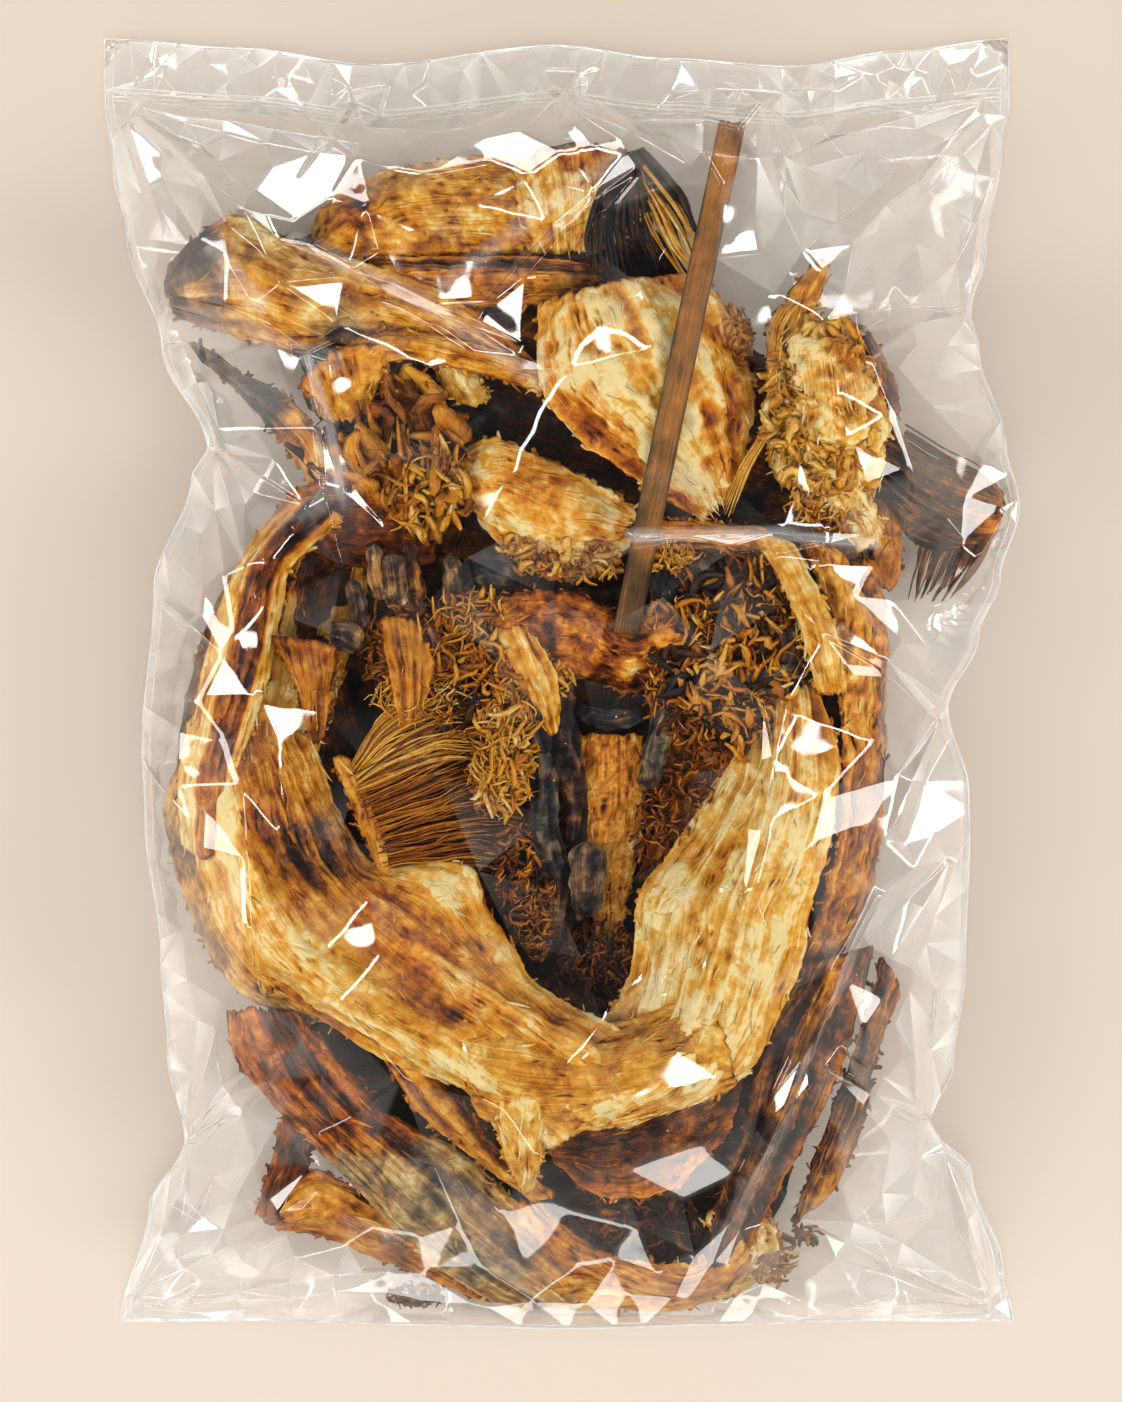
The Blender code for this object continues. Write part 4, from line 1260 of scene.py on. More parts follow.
@dataclass
class UpperPieces:
    """Boards, straps, a fillet, a flaky chunk and a tail root, packed between the head and the zip."""

    finish: bpy.types.Material
    skin: bpy.types.Material

    def slabs(self) -> list[Slab]:
        """Slabs above the head, lowest first."""
        return [
            # near-black sheet under the pieces: painted shade in the gaps between them
            Slab("upper_shade_bed", [
                [(-118, 138, 44), (-74, 160, 36), (-20, 170, 34), (28, 160, 38), (60, 120, 44),
                 (98, 96, 48)],
                [(-100, 126, 24), (-64, 128, 12), (-20, 134, 10), (20, 126, 12), (52, 94, 18),
                 (94, 74, 30)],
                [(-84, 100, 24), (-58, 94, 10), (-20, 92, 8), (20, 80, 10), (48, 66, 18), (80, 58, 30)],
                [(-72, 72, 40), (-52, 62, 32), (-20, 50, 30), (20, 44, 30), (48, 46, 34), (74, 50, 42)],
            ], Slot.SKIN, 5, (3.0, 2.8), tone=0.16, hue=0.2, rag=2, wrinkle=(18, 3), crumple=(10, 2.4),
                relief_painted_light=0.14, seed=101),
            Slab("dark_wedge", [
                [(-130, 120, 45), (-112, 108, 46), (-94, 99, 50), (-76, 78, 54)],
                [(-128, 117, 47), (-110, 102, 49), (-91, 88, 54), (-76, 68, 56)],
                [(-126, 114, 40), (-108, 96, 40), (-92, 76, 42), (-80, 56, 46)],
            ], Slot.SKIN, 4, tone=0.13, hue=-0.8, rays=(3.2, 0.9),
            along=[(0, 0.1, 0), (.5, 0, 0), (.68, .4, 1.3), (1, .5, 1.2)],
                seed=102),
            Slab("back_ridge", [
                [(-86, 154, 50), (-80, 166, 52), (-63, 176, 55), (-42, 180, 57), (-22, 182, 57),
                 (-13, 177, 54)],
                [(-84, 150, 60), (-73, 160, 66), (-56, 167, 67), (-38, 169, 67), (-22, 169, 66),
                 (-12, 167, 62)],
                [(-82, 145, 56), (-64, 146, 60), (-48, 146, 60), (-34, 146, 60), (-20, 147, 60),
                 (-9, 148, 58)],
            ], thick=5, steps=(1.0, 0.8), rag=2.0, tone=0.49, hue=0.15, wrinkle=(10, 2.4),
            crumple=(6, 1.8), bead=1.6, fibre=0.1,
                across=[(0, .12, .35), (.14, .05, .3), (.3, 0, -.2), (.75, 0, -.1), (1, -.1, .2)],
                spots=[Spot(-70, 162, 10, -0.2, 0.5), Spot(-44, 176, 16, 0.1, 0.35),
                       Spot(-40, 163, 14, 0.02, -0.4)], seed=103),
            Slab("back_ridge_end", [
                [(-20, 176, 58), (-16, 164, 62), (-14, 148, 58)],
                [(-6, 184, 60), (-2, 168, 66), (0, 147, 60)],
                [(12, 187, 58), (14, 168, 66), (12, 148, 60)],
                [(26, 184, 54), (28, 170, 60), (22, 151, 58)],
            ], thick=5, steps=(1.0, 0.7), rag=2.4, tone=0.60, hue=0.3, wrinkle=(9, 2.4), crumple=(6, 1.2),
            rays=(5, 1.05), bead=1.4,
                along=[(0, -.05, .35), (.3, .04, .2), (1, -.04, 0)],
                spots=[Spot(6, 186, 14, -0.3, 0.1), Spot(0, 160, 12, 0.06, -0.3)], seed=104),
            Slab("band_over_ridge", [
                [(-68, 147, 62), (-38, 147, 64), (-7, 147, 64), (16, 144, 60)],
                [(-60, 140, 66), (-34, 140, 68), (-7, 139, 68), (15, 139, 64)],
                [(-50, 132, 60), (-28, 129, 62), (-5, 130, 62), (12, 133, 60)],
            ], Slot.SKIN, 3, (1.0, 0.5), tone=0.36, hue=0.35, rays=(3.6, 1.2),
            across=[(0, .1, 0), (.25, -.14, -.6), (.5, .1, .1), (.7, -.06, -.4), (1, .12, .2)],
                seed=105),
            Slab("wing_piece", [
                [(-136, 146, 56), (-124, 157, 64), (-110, 161, 68), (-91, 152, 68), (-70, 146, 66),
                 (-45, 138, 66),
                 (-21, 123, 66), (-7, 109, 64)],
                [(-139, 138, 62), (-126, 144, 72), (-108, 145, 76), (-91, 139, 74), (-70, 135, 72),
                 (-45, 128, 72),
                 (-21, 116, 69), (-5, 105, 65)],
                [(-138, 134, 60), (-124, 132, 70), (-106, 129, 74), (-90, 125, 72), (-72, 125, 70),
                 (-47, 120, 68),
                 (-23, 111, 66), (-4, 102, 63)],
                [(-136, 128, 52), (-119, 121, 60), (-102, 116, 62), (-88, 114, 62), (-73, 116, 60),
                 (-49, 115, 60),
                 (-25, 107, 60), (-4, 98, 58)],
            ], thick=5, steps=(1.1, 0.6), rag=1.8, tone=0.55, hue=-0.05, wrinkle=(13, 2.4),
            rays=(6.5, 0.9), bead=1.2, crinkle=1.2,
                along=[(0, -.34, -.7), (.14, -.2, -.6), (.24, .0, -.35), (.4, .06, -.25), (.55, .04, .1),
                       (.75, .02, .4), (1, -.02, .5)],
                spots=[Spot(-124, 148, 10, -0.26, -0.7), Spot(-126, 136, 7, 0.3, 0.3),
                       Spot(-104, 133, 12, 0.1, 0.5),
                       Spot(-74, 122, 12, -0.1, -0.6), Spot(-96, 118, 12, 0.0, 0.6),
                       Spot(-110, 158, 10, 0.12, -0.1)], seed=106),
            Slab("brown_strap", [
                [(-84, 108, 66), (-62, 121, 71), (-32, 117, 70), (2, 107, 68)],
                [(-80, 103, 68), (-60, 116, 74), (-30, 112, 73), (2, 102, 70)],
                [(-76, 98, 62), (-57, 110, 68), (-30, 106, 68), (1, 97, 66)],
            ], thick=2.4, steps=(1.0, 0.45), tone=0.56, hue=0.35, rays=(2.4, 0.75), fibre=0.4, seed=107),
            Slab("hanging_flap", [
                [(-90, 104, 66), (-84, 96, 64), (-79, 90, 58)],
                [(-77, 113, 74), (-73, 102, 70), (-71, 90, 60)],
                [(-58, 118, 72), (-61, 107, 70), (-64, 99, 62)],
            ], thick=2.6, steps=(0.8, 0.6), rag=2.2, tone=0.64, hue=0.3, wrinkle=(8, 2.0), bead=1,
            seed=108),
            Slab("pale_leaf", [
                [(-43, 112, 62), (-39, 100, 62), (-33, 95, 58)],
                [(-36, 112, 66), (-32, 102, 66), (-28, 95, 60)],
                [(-27, 108, 62), (-27, 102, 62), (-23, 98, 58)],
            ], thick=2, steps=(0.7, 0.5), rag=1.6, tone=0.78, hue=-0.2, wrinkle=(8, 1.4), seed=109),
            Slab("inner_fillet", [
                [(-33, 81, 56), (-24, 85, 61), (-7, 78, 63), (11, 70, 63), (23, 62, 60), (29, 56, 56)],
                [(-32, 68, 62), (-20, 68, 68), (-5, 62, 69), (11, 57, 67), (25, 53, 59)],
                [(-28, 56, 54), (-20, 46, 57), (-7, 39, 58), (7, 35, 58), (21, 42, 56), (28, 47, 54)],
            ], thick=5, steps=(0.9, 0.6), rag=2, tone=0.61, hue=0.4, wrinkle=(12, 2.4), crumple=(8, 1.2),
            bead=1.2,
                across=[(0, .08, 0), (.3, 0, .2), (.6, -.06, .3), (.8, .14, -.1), (1, .1, 0)],
                spots=[Spot(-26, 78, 12, 0.14, -0.2), Spot(14, 60, 12, 0.1, -0.2)], seed=110),
            Slab("right_fillet", [
                [(26, 57, 56), (49, 56, 60), (72, 53, 56)], [(26, 50, 60), (49, 49, 64), (74, 48, 62)],
                [(28, 41, 54), (49, 41, 58), (76, 41, 56)],
            ], thick=4, tone=0.50, hue=0.4, wrinkle=(9, 2.2), rays=(4, 0.9), rag=2, seed=111),
            Slab("middle_slab", [
                [(-8, 130, 68), (-8, 113, 72), (-5, 96, 74), (7, 82, 74), (21, 72, 72), (37, 61, 66),
                 (50, 55, 62)],
                [(4, 134, 80), (7, 117, 85), (13, 101, 87), (26, 88, 85), (36, 79, 81), (47, 68, 74),
                 (54, 58, 66)],
                [(25, 139, 82), (32, 124, 86), (39, 110, 87), (46, 96, 85), (51, 84, 81), (55, 74, 76),
                 (57, 62, 68)],
                [(46, 141, 68), (57, 131, 70), (63, 119, 71), (67, 105, 71), (68, 93, 70), (65, 81, 70),
                 (60, 62, 64)],
            ], thick=6, steps=(0.85, 0.65), rag=1.6, tone=0.585, hue=0.42, wrinkle=(15, 3.0),
            crumple=(14, 2.2), fibre=0.16, rays=(6.5, 0.8), crinkle=1.1,
                bead=1.3, across=[(0, -.02, .45), (.14, .02, .3), (.28, .1, 0), (.6, .06, -.05),
                                  (.85, -.04, .3), (1, -.1, .4)],
                along=[(0, .02, 0), (.3, .06, -.1), (.6, 0, .1), (1, -.04, .3)],
                spots=[Spot(10, 92, 14, -0.08, 0.4), Spot(52, 96, 12, 0.0, 0.3),
                       Spot(40, 74, 14, 0.1, -0.2)], seed=112),
            Slab("small_orange_flap", [
                [(111, 64, 56), (109, 48, 54), (110, 33, 48)],
                [(115, 63, 56), (116, 47, 56), (115, 31, 50)],
                [(118, 61, 52), (119, 46, 50), (118, 34, 46)],
            ], thick=3, tone=0.56, hue=0.5, wrinkle=(7, 2), rag=2.2, bead=1, seed=113),
            Slab("tail_root", [
                [(100, 92, 56), (112, 92, 56), (123, 82, 56), (137, 77, 56), (150, 72, 54), (157, 67, 52)],
                [(100, 84, 68), (112, 83, 68), (124, 74, 66), (138, 68, 64), (150, 64, 60), (158, 61, 54)],
                [(100, 72, 68), (112, 70, 68), (123, 62, 66), (137, 56, 64), (150, 54, 60), (157, 57, 54)],
                [(102, 62, 54), (112, 61, 54), (120, 49, 54), (133, 44, 54), (148, 46, 52), (155, 52, 50)],
            ], Slot.SKIN, 9, (0.8, 0.45), rag=1.0, tone=0.17, hue=-0.6, wrinkle=(14, 1.2),
            rays=(3.1, 1.65), fibre=0.5,
                relief_painted_light=0.3, along=[(0, 0, 0), (.3, .02, 0), (.8, .05, .5), (1, .3, .9)],
                spots=[Spot(150, 56, 8, 0.1, 0.5), Spot(112, 62, 10, -0.14)], seed=114),
        ]

    def chunk(self) -> list[Slab]:
        """The flaky orange chunk beside the tail root, in overlapping flakes."""
        return [
            Slab("flaky_chunk", [
                [(70, 126, 70), (72, 104, 74), (70, 84, 72), (76, 68, 64)],
                [(82, 128, 80), (84, 104, 87), (84, 84, 85), (88, 64, 72)],
                [(96, 124, 80), (100, 102, 88), (102, 84, 85), (100, 62, 72)],
                [(104, 118, 70), (113, 98, 74), (114, 80, 72), (108, 60, 62)],
            ], thick=7, steps=(0.8, 0.8), rag=3, tone=0.71, hue=0.12, wrinkle=(9, 3.4), crumple=(6, 3.2),
            bead=1.4,
                relief_painted_light=0.3, spots=[Spot(104, 110, 14, -0.1, 0.4), Spot(78, 96, 10, 0.04, 0.3)],
                seed=121),
            Slab("chunk_spur", [
                [(75, 122, 78), (80, 134, 78), (90, 146, 72)],
                [(80, 118, 84), (85, 131, 83), (92, 145, 75)],
                [(86, 116, 80), (89, 129, 78), (94, 143, 72)],
            ], thick=4, steps=(0.7, 0.5), rag=1.8, tone=0.64, hue=0.2, wrinkle=(7, 1.8), bead=1, seed=122),
            Slab("chunk_dark_edge", [
                [(100, 122, 74), (107, 110, 76), (113, 94, 72)],
                [(105, 122, 74), (112, 108, 76), (117, 92, 70)],
                [(108, 118, 66), (115, 104, 66), (119, 90, 62)],
            ], Slot.SKIN, 3, tone=0.2, hue=-0.2, rays=(3, 1.2), rag=1.8, seed=123),
            Slab("pale_flakes", [
                [(80, 96, 86), (84, 84, 86)], [(88, 97, 90), (92, 84, 89)], [(97, 94, 88), (100, 82, 85)],
            ], thick=2, steps=(0.6, 0.6), rag=2.6, tone=0.86, hue=-0.3, wrinkle=(6, 3), seed=124),
            Slab("pale_flap", [
                [(88, 68, 76), (96, 58, 70), (104, 44, 62)], [(94, 70, 78), (102, 60, 72), (109, 47, 63)],
                [(100, 69, 74), (109, 60, 68), (113, 50, 60)],
            ], thick=2, steps=(0.6, 0.5), rag=2.4, tone=0.88, hue=-0.35, wrinkle=(7, 2.4), seed=125),
        ]

    def threads(self) -> list[tuple[str, Slot, list]]:
        """Loose strips, curls and cords, grouped by piece."""
        return [
            ("black_fin_bunch", Slot.SKIN, [
                Strands([(22, 182, 60), (14, 168, 66), (10, 152, 66), (12, 134, 62)],
                        [(28, 184, 58), (40, 172, 62), (46, 160, 60), (52, 148, 58)],
                        46, (1.2, 3.0), 0.4, stray=1.6, layers=3, tone=(0.06, 0.3), hue=(-1, -0.2),
                        tip_tone=0.0, seed=131),
                Strands([(24, 176, 62), (30, 160, 66), (38, 146, 68), (50, 130, 66)],
                        [(30, 178, 62), (42, 164, 66), (50, 148, 66), (56, 134, 64)],
                        16, (0.8, 1.8), 0.5, stray=1.8, layers=3, tone=(0.6, 0.82), hue=(-0.1, 0.2),
                        seed=132)]),
            ("tangled_strips", Slot.FLESH, [
                Shreds((-55, 84, 62), (24, 24, 8), 46, (14, 34), (3.5, 9.5), 0.16, 115, 45, curl=0.9,
                       tone=(0.36, 0.72),
                       hue=(0.0, 0.6), seed=133),
                Shreds((-44, 66, 64), (15, 14, 6), 70, (7, 18), (1.8, 5.0), 0.2, 60, 80, curl=1.5,
                       tone=(0.46, 0.84),
                       hue=(-0.1, 0.4), seed=134),
                Shreds((-60, 78, 50), (26, 28, 8), 120, (12, 30), (2.4, 7.0), 0.3, 100, 50,
                       tone=(0.03, 0.26),
                       hue=(-0.5, 0.6), seed=135)]),
            ("chunk_curls", Slot.FLESH, [
                Shreds((90, 94, 84), (18, 30, 5), 320, (4, 14), (1.4, 5.0), 0.16, 80, 90, curl=1.5,
                       tone=(0.56, 0.92),
                       hue=(-0.15, 0.35), seed=136),
                Shreds((94, 62, 70), (14, 9, 4), 120, (4, 10), (0.9, 2.6), 0.3, 80, 90, curl=1.2,
                       tone=(0.55, 0.86),
                       hue=(-0.2, 0.4), seed=137),
                Strands([(81, 130, 84), (74, 121, 82), (72, 91, 80), (63, 74, 76), (56, 56, 66)],
                        [(83, 130, 85), (77, 120, 84), (75, 91, 82), (66, 73, 78), (59, 55, 68)],
                        9, (1.0, 1.9), 0.7, stray=1.0, layers=1, short=0.1, tone=(0.62, 0.8),
                        hue=(-0.1, 0.2), seed=138)]),
            ("fillet_crumbs", Slot.FLESH, [
                Shreds((1, 44, 62), (20, 8, 3), 190, (3, 10), (1.2, 4.2), 0.2, 60, 90, curl=1.4,
                       tone=(0.5, 0.86),
                       hue=(-0.3, 0.3), turn=-8, seed=139),
                Shreds((60, 118, 72), (5, 11, 3), 90, (4, 9), (1.2, 3.4), 0.4, 60, 90, curl=1.2,
                       tone=(0.36, 0.7),
                       hue=(0.2, 0.7), seed=140),
                Shreds((60, 98, 62), (9, 16, 4), 90, (5, 12), (1.2, 3.0), 0.4, 90, 60, tone=(0.08, 0.4),
                       hue=(0.2, 0.8), seed=141)]),
            ("tail_rays", Slot.SKIN, [
                Strands([(136, 64, 56), (128, 52, 52), (124, 36, 44), (122, 26, 38)],
                        [(152, 56, 54), (148, 44, 50), (142, 34, 42), (136, 28, 36)],
                        34, (1.6, 3.0), 0.5, stray=1.2, layers=2, short=0.35, tone=(0.1, 0.4),
                        hue=(-0.9, 0.3), seed=142),
                Strands([(120, 88, 60), (134, 80, 62), (146, 75, 58), (154, 68, 54)],
                        [(120, 58, 60), (134, 50, 62), (146, 48, 58), (154, 56, 54)],
                        30, (1.0, 2.2), 0.5, stray=1.0, layers=6, short=0.1, tone=(0.12, 0.42),
                        hue=(-0.9, 0.3), seed=143)]),
        ]

    def build(self) -> list[bpy.types.Object]:
        """Builds everything above the head."""
        pieces = slabs_made(self.slabs() + self.chunk(), self.finish, self.skin)
        for name, slot, groups in self.threads():
            joined = Shell.joined([group.shell() for group in groups])
            pieces.append(joined.made(name, self.skin if slot is Slot.SKIN else self.finish, slot))
        return pieces


# ---------------------------------------------------------------- pieces below the head


@dataclass
class LowerPieces:
    """Skin boards, dark strips and torn tissue, packed between the head and the bottom seam."""

    finish: bpy.types.Material
    skin: bpy.types.Material

    def slabs(self) -> list[Slab]:
        """Slabs below the head, lowest first."""
        return [
            # near-black sheet under the pieces: painted shade in the gaps and the hollow between them
            Slab("lower_shade_bed", [
                [(-92, -124, 40), (-60, -110, 40), (0, -112, 44), (60, -110, 44), (98, -108, 42)],
                [(-84, -150, 18), (-52, -150, 8), (0, -150, 7), (52, -150, 8), (88, -150, 20)],
                [(-66, -186, 22), (-40, -184, 9), (0, -184, 8), (44, -184, 9), (76, -186, 24)],
                [(-34, -212, 26), (-18, -214, 20), (8, -214, 18), (40, -212, 20), (58, -208, 28)],
            ], Slot.SKIN, 4, (3.0, 2.8), tone=0.11, hue=0.25, rag=2, wrinkle=(18, 3), crumple=(11, 3),
            relief_painted_light=0.10, seed=151),
            Slab("base_lobe", [
                [(-8, -206, 34), (14, -202, 38), (42, -204, 40), (66, -200, 40)],
                [(-6, -214, 40), (16, -211, 44), (42, -213, 45), (66, -209, 42)],
                [(-4, -221, 28), (18, -222, 28), (42, -222, 28), (62, -216, 28)],
            ], thick=5, tone=0.50, hue=0.35, wrinkle=(9, 2.6), crumple=(6, 1.6), rag=2, bead=1,
                spots=[Spot(10, -216, 14, 0.12, -0.5), Spot(58, -210, 14, 0.08, -0.6)], seed=152),
            Slab("right_tissue", [
                [(50, -186, 44), (58, -200, 42), (54, -218, 34)],
                [(62, -184, 48), (68, -200, 45), (62, -216, 36)],
                [(74, -186, 42), (78, -198, 40), (70, -211, 32)],
            ], thick=4, tone=0.62, hue=-0.55, crumple=(5, 1.6), wrinkle=(8, 2), rag=2.4, seed=153),
            Slab("brown_flap_edge", [
                [(-95, -148, 44), (-101, -168, 42), (-105, -185, 38), (-102, -190, 36)],
                [(-91, -150, 48), (-95, -169, 46), (-99, -184, 42), (-97, -190, 38)],
                [(-84, -154, 44), (-87, -168, 42), (-91, -178, 40), (-90, -186, 38)],
            ], Slot.SKIN, 3.5, tone=0.32, hue=0.9, wrinkle=(12, 1.4), bead=1,
            across=[(0, .2, 0), (.2, 0, 0), (1, -.1, 0)], seed=154),
            Slab("brown_flap", [
                [(-102, -188, 36), (-87, -171, 42), (-66, -180, 42), (-42, -196, 40), (-28, -206, 36)],
                [(-101, -189, 38), (-84, -183, 46), (-62, -193, 46), (-38, -205, 42), (-24, -212, 36)],
                [(-99, -192, 32), (-80, -196, 36), (-56, -206, 36), (-31, -217, 32), (-18, -220, 30)],
            ], thick=4, steps=(1.1, 0.6), rag=1.8, tone=0.47, hue=0.15, rays=(6, 1.3), wrinkle=(11, 1.8),
            bead=1.2,
                across=[(0, -.12, .5), (.2, .06, .1), (.7, -.04, 0), (1, .06, .3)],
                along=[(0, .1, .3), (.3, .02, .1), (1, -.1, 0)], seed=155),
            Slab("hollow_rim", [
                [(-10, -176, 44), (2, -190, 44), (16, -199, 44), (35, -207, 44), (50, -207, 44),
                 (60, -196, 46), (62, -182, 46)],
                [(-14, -180, 48), (0, -196, 50), (15, -205, 50), (35, -212, 50), (53, -211, 49),
                 (66, -197, 50), (66, -181, 48)],
                [(-18, -186, 42), (-2, -203, 42), (14, -212, 42), (35, -217, 42), (56, -216, 42),
                 (71, -198, 42), (70, -181, 42)],
            ], thick=5, tone=0.44, hue=0.45, wrinkle=(9, 2), rays=(4, 1.2), rag=1.8, bead=1.2,
                spots=[Spot(30, -210, 12, 0.14, 0), Spot(60, -196, 12, 0.1, -0.2)], seed=156),
            Slab("side_strip", [
                [(-62, -130, 58), (-49, -150, 62), (-31, -165, 60), (-8, -182, 54)],
                [(-54, -130, 62), (-41, -148, 66), (-26, -164, 64), (-4, -180, 58)],
                [(-46, -132, 60), (-32, -148, 62), (-20, -163, 60), (0, -178, 54)],
            ], thick=4, tone=0.48, hue=0.1, rays=(3.4, 1.35), wrinkle=(12, 1.4),
            across=[(0, -.1, 0), (.4, .1, 0), (1, -.14, .4)], seed=157),
            Slab("long_board", [
                [(-117, -116, 48), (-113, -133, 50), (-98, -150, 50), (-80, -168, 48), (-66, -182, 46),
                 (-49, -202, 42),
                 (-28, -216, 36), (-12, -222, 32)],
                [(-104, -114, 58), (-95, -135, 60), (-84, -148, 60), (-68, -161, 60), (-54, -175, 58),
                 (-38, -191, 54),
                 (-18, -207, 46), (0, -220, 38)],
                [(-91, -114, 52), (-74, -133, 56), (-62, -147, 56), (-50, -155, 56), (-32, -165, 54),
                 (-14, -182, 50),
                 (4, -199, 44), (18, -217, 34)],
            ], thick=5, steps=(1.1, 0.6), rag=1.6, tone=0.46, hue=0.3, wrinkle=(14, 1.8), rays=(5.2, 0.7),
            bead=1, patches=0.10,
                along=[(0, -.08, .6), (.16, -.13, .7), (.38, -.11, .7), (.43, .08, -1.25), (.7, .09, -1.2),
                       (1, .08, -1.1)],
                across=[(0, .1, .1), (.1, 0, 0), (.85, -.04, .1), (1, .08, .4)],
                spots=[Spot(-110, -122, 14, 0.08, 0.2), Spot(-34, -204, 12, -0.12, -0.3),
                       Spot(-2, -208, 14, 0.06, 0.5)], seed=158),
            Slab("outer_flap", [
                [(112, -96, 50), (107, -116, 52), (101, -133, 52), (91, -160, 50), (81, -190, 44)],
                [(117, -102, 50), (111, -118, 55), (106, -134, 55), (98, -158, 52), (86, -186, 46)],
                [(120, -110, 44), (114, -122, 46), (111, -136, 46), (107, -156, 44), (96, -178, 40)],
            ], Slot.SKIN, 4, tone=0.22, hue=-0.5, rays=(3.6, 1.35), wrinkle=(12, 2), rag=2.2, bead=1,
                along=[(0, .12, 1.2), (.2, 0, .6), (.4, 0, 0), (1, .1, .4)], seed=159),
            Slab("right_long_strip", [
                [(85, -98, 63), (70, -129, 63), (63, -157, 60), (54, -182, 54), (51, -208, 46)],
                [(97, -95, 66), (86, -122, 66), (77, -152, 64), (65, -180, 58), (57, -208, 48)],
                [(110, -92, 58), (105, -112, 60), (96, -140, 58), (78, -174, 52), (64, -205, 44)],
            ], thick=4, steps=(1.1, 0.5), tone=0.25, hue=-0.05, rays=(3.8, 1.3), wrinkle=(14, 1.8),
            rag=1.8, fibre=0.4, bead=1,
                relief_painted_light=0.22, across=[(0, .02, .3), (.25, -.1, 0), (.5, .1, -.1), (.75, -.12, 0),
                                          (1, .1, .4)],
                spots=[Spot(88, -104, 12, 0.1, 0.3), Spot(70, -160, 14, -0.06, -0.3)], seed=160),
        ]

    def crumbs(self) -> Shell:
        """Dark crumbs that have dropped to the bottom of the bag, and torn ends."""
        groups = [
            Shreds((-50, -217, 26), (10, 4, 2), 70, (2, 6), (1.0, 3.0), 0.5, 20, 90, tone=(0.08, 0.4),
                   hue=(-0.6, 0.3), seed=171),
            Shreds((86, -194, 36), (5, 4, 2), 26, (2, 5), (1.0, 2.4), 0.5, 20, 90, tone=(0.2, 0.5),
                   hue=(-0.3, 0.4), seed=172),
            Shreds((24, -188, 30), (26, 12, 5), 200, (6, 16), (1.2, 3.6), 0.4, -40, 50, tone=(0.06, 0.34),
                   hue=(-0.2, 0.7), seed=173),
            Shreds((72, -202, 42), (10, 10, 3), 80, (4, 10), (1.0, 3.0), 0.4, 60, 80, tone=(0.3, 0.7),
                   hue=(-0.7, 0.2), seed=174),
        ]
        return Shell.joined([group.shell() for group in groups])

    def build(self) -> list[bpy.types.Object]:
        """Builds everything below the head."""
        pieces = slabs_made(self.slabs(), self.finish, self.skin)
        pieces.append(self.crumbs().made("loose_crumbs", self.skin, Slot.SKIN))
        return pieces


@dataclass
class FlatSlat:
    """The long flat slat that lies over the middle slab, its top end worn and frayed."""

    finish: bpy.types.Material
    top: Point = (60, 193, 84)
    bend: Point = (41, 104, 92)
    foot: Point = (23, 16, 68)
    width: float = 9.2
    thick: float = 1.6

    def build(self) -> bpy.types.Object:
        """Builds the slat with rounded edges and a chipped top end."""
        rows, columns = 301, 17
        share = np.linspace(0, 1, rows)
        line = evenly_through([self.top, self.bend, self.foot], rows)
        run = unit(np.gradient(line, axis=0))
        up = np.array([0.10, 0.05, 1.0])
        side = unit(np.cross(up, run))
        deep = unit(np.cross(run, side))
        noise = Grain(9)
        across = np.linspace(-1, 1, columns)
        length = np.linalg.norm(np.diff(line, axis=0), axis=1).sum()
        probe = np.stack(np.broadcast_arrays((share * length / 30)[:, None], across[None, :] * 0.3, 0.5),
                         -1)
        waver = noise.layered(probe.reshape(-1, 3), 2).reshape(rows, columns)
        half = self.width / 2 * (1 + 0.05 * waver)
        chip = noise.layered(np.stack(np.broadcast_arrays(0.0, across * 3.2, 2.0), -1).reshape(-1, 3), 3)
        ends = np.clip(1 - share * length / 5, 0, 1)[:, None] * chip[None, :] * 3.5
        plan = (line[:, None] + side[:, None] * (across[None, :] * half)[..., None]
                + run[:, None] * ends[..., None])
        fibres = noise.layered(np.stack(np.broadcast_arrays((share * length / 22)[:, None],
                                                            across[None, :] * 5, 4.0),
                                        -1).reshape(-1, 3), 2).reshape(rows, columns)
        round_off = 0.45 * np.abs(across)[None, :] ** 6 + 0.10 * (1 - fibres)
        upper = plan + deep[:, None] * (self.thick / 2 - round_off)[..., None]
        lower = plan - deep[:, None] * (self.thick / 2 - 0.45 * np.abs(across)[None, :] ** 6)[..., None]
        points, faces = closed_pair(upper, lower)
        value = 0.58 - 0.16 * share[:, None] + 0.10 * waver - 0.22 * np.abs(across)[None, :] ** 8
        grain = np.stack(np.broadcast_arrays((share * length)[:, None], across[None, :] * self.width / 2,
                                             3.0), -1)
        shell = Shell(points, faces, np.concatenate([value.ravel(), value[::4, ::4].ravel()]),
                      np.zeros(len(points)),
                      np.concatenate([grain.reshape(-1, 3), grain[::4, ::4].reshape(-1, 3)]))
        return shell.made("flat_slat", self.finish, Slot.SLAT)


# ---------------------------------------------------------------- the film


Stations = list[tuple[float, float]]


def along_stations(stations: Stations, at: Array) -> Array:
    """Values along (place, value) stations, eased from each station to the next."""
    places, values = np.array(stations, float).T
    at = np.asarray(at, float)
    after = np.clip(np.searchsorted(places, at, side="right"), 1, len(places) - 1)
    share = np.clip((at - places[after - 1]) / (places[after] - places[after - 1]), 0, 1)
    return values[after - 1] + (values[after] - values[after - 1]) * share * share * (3 - 2 * share)


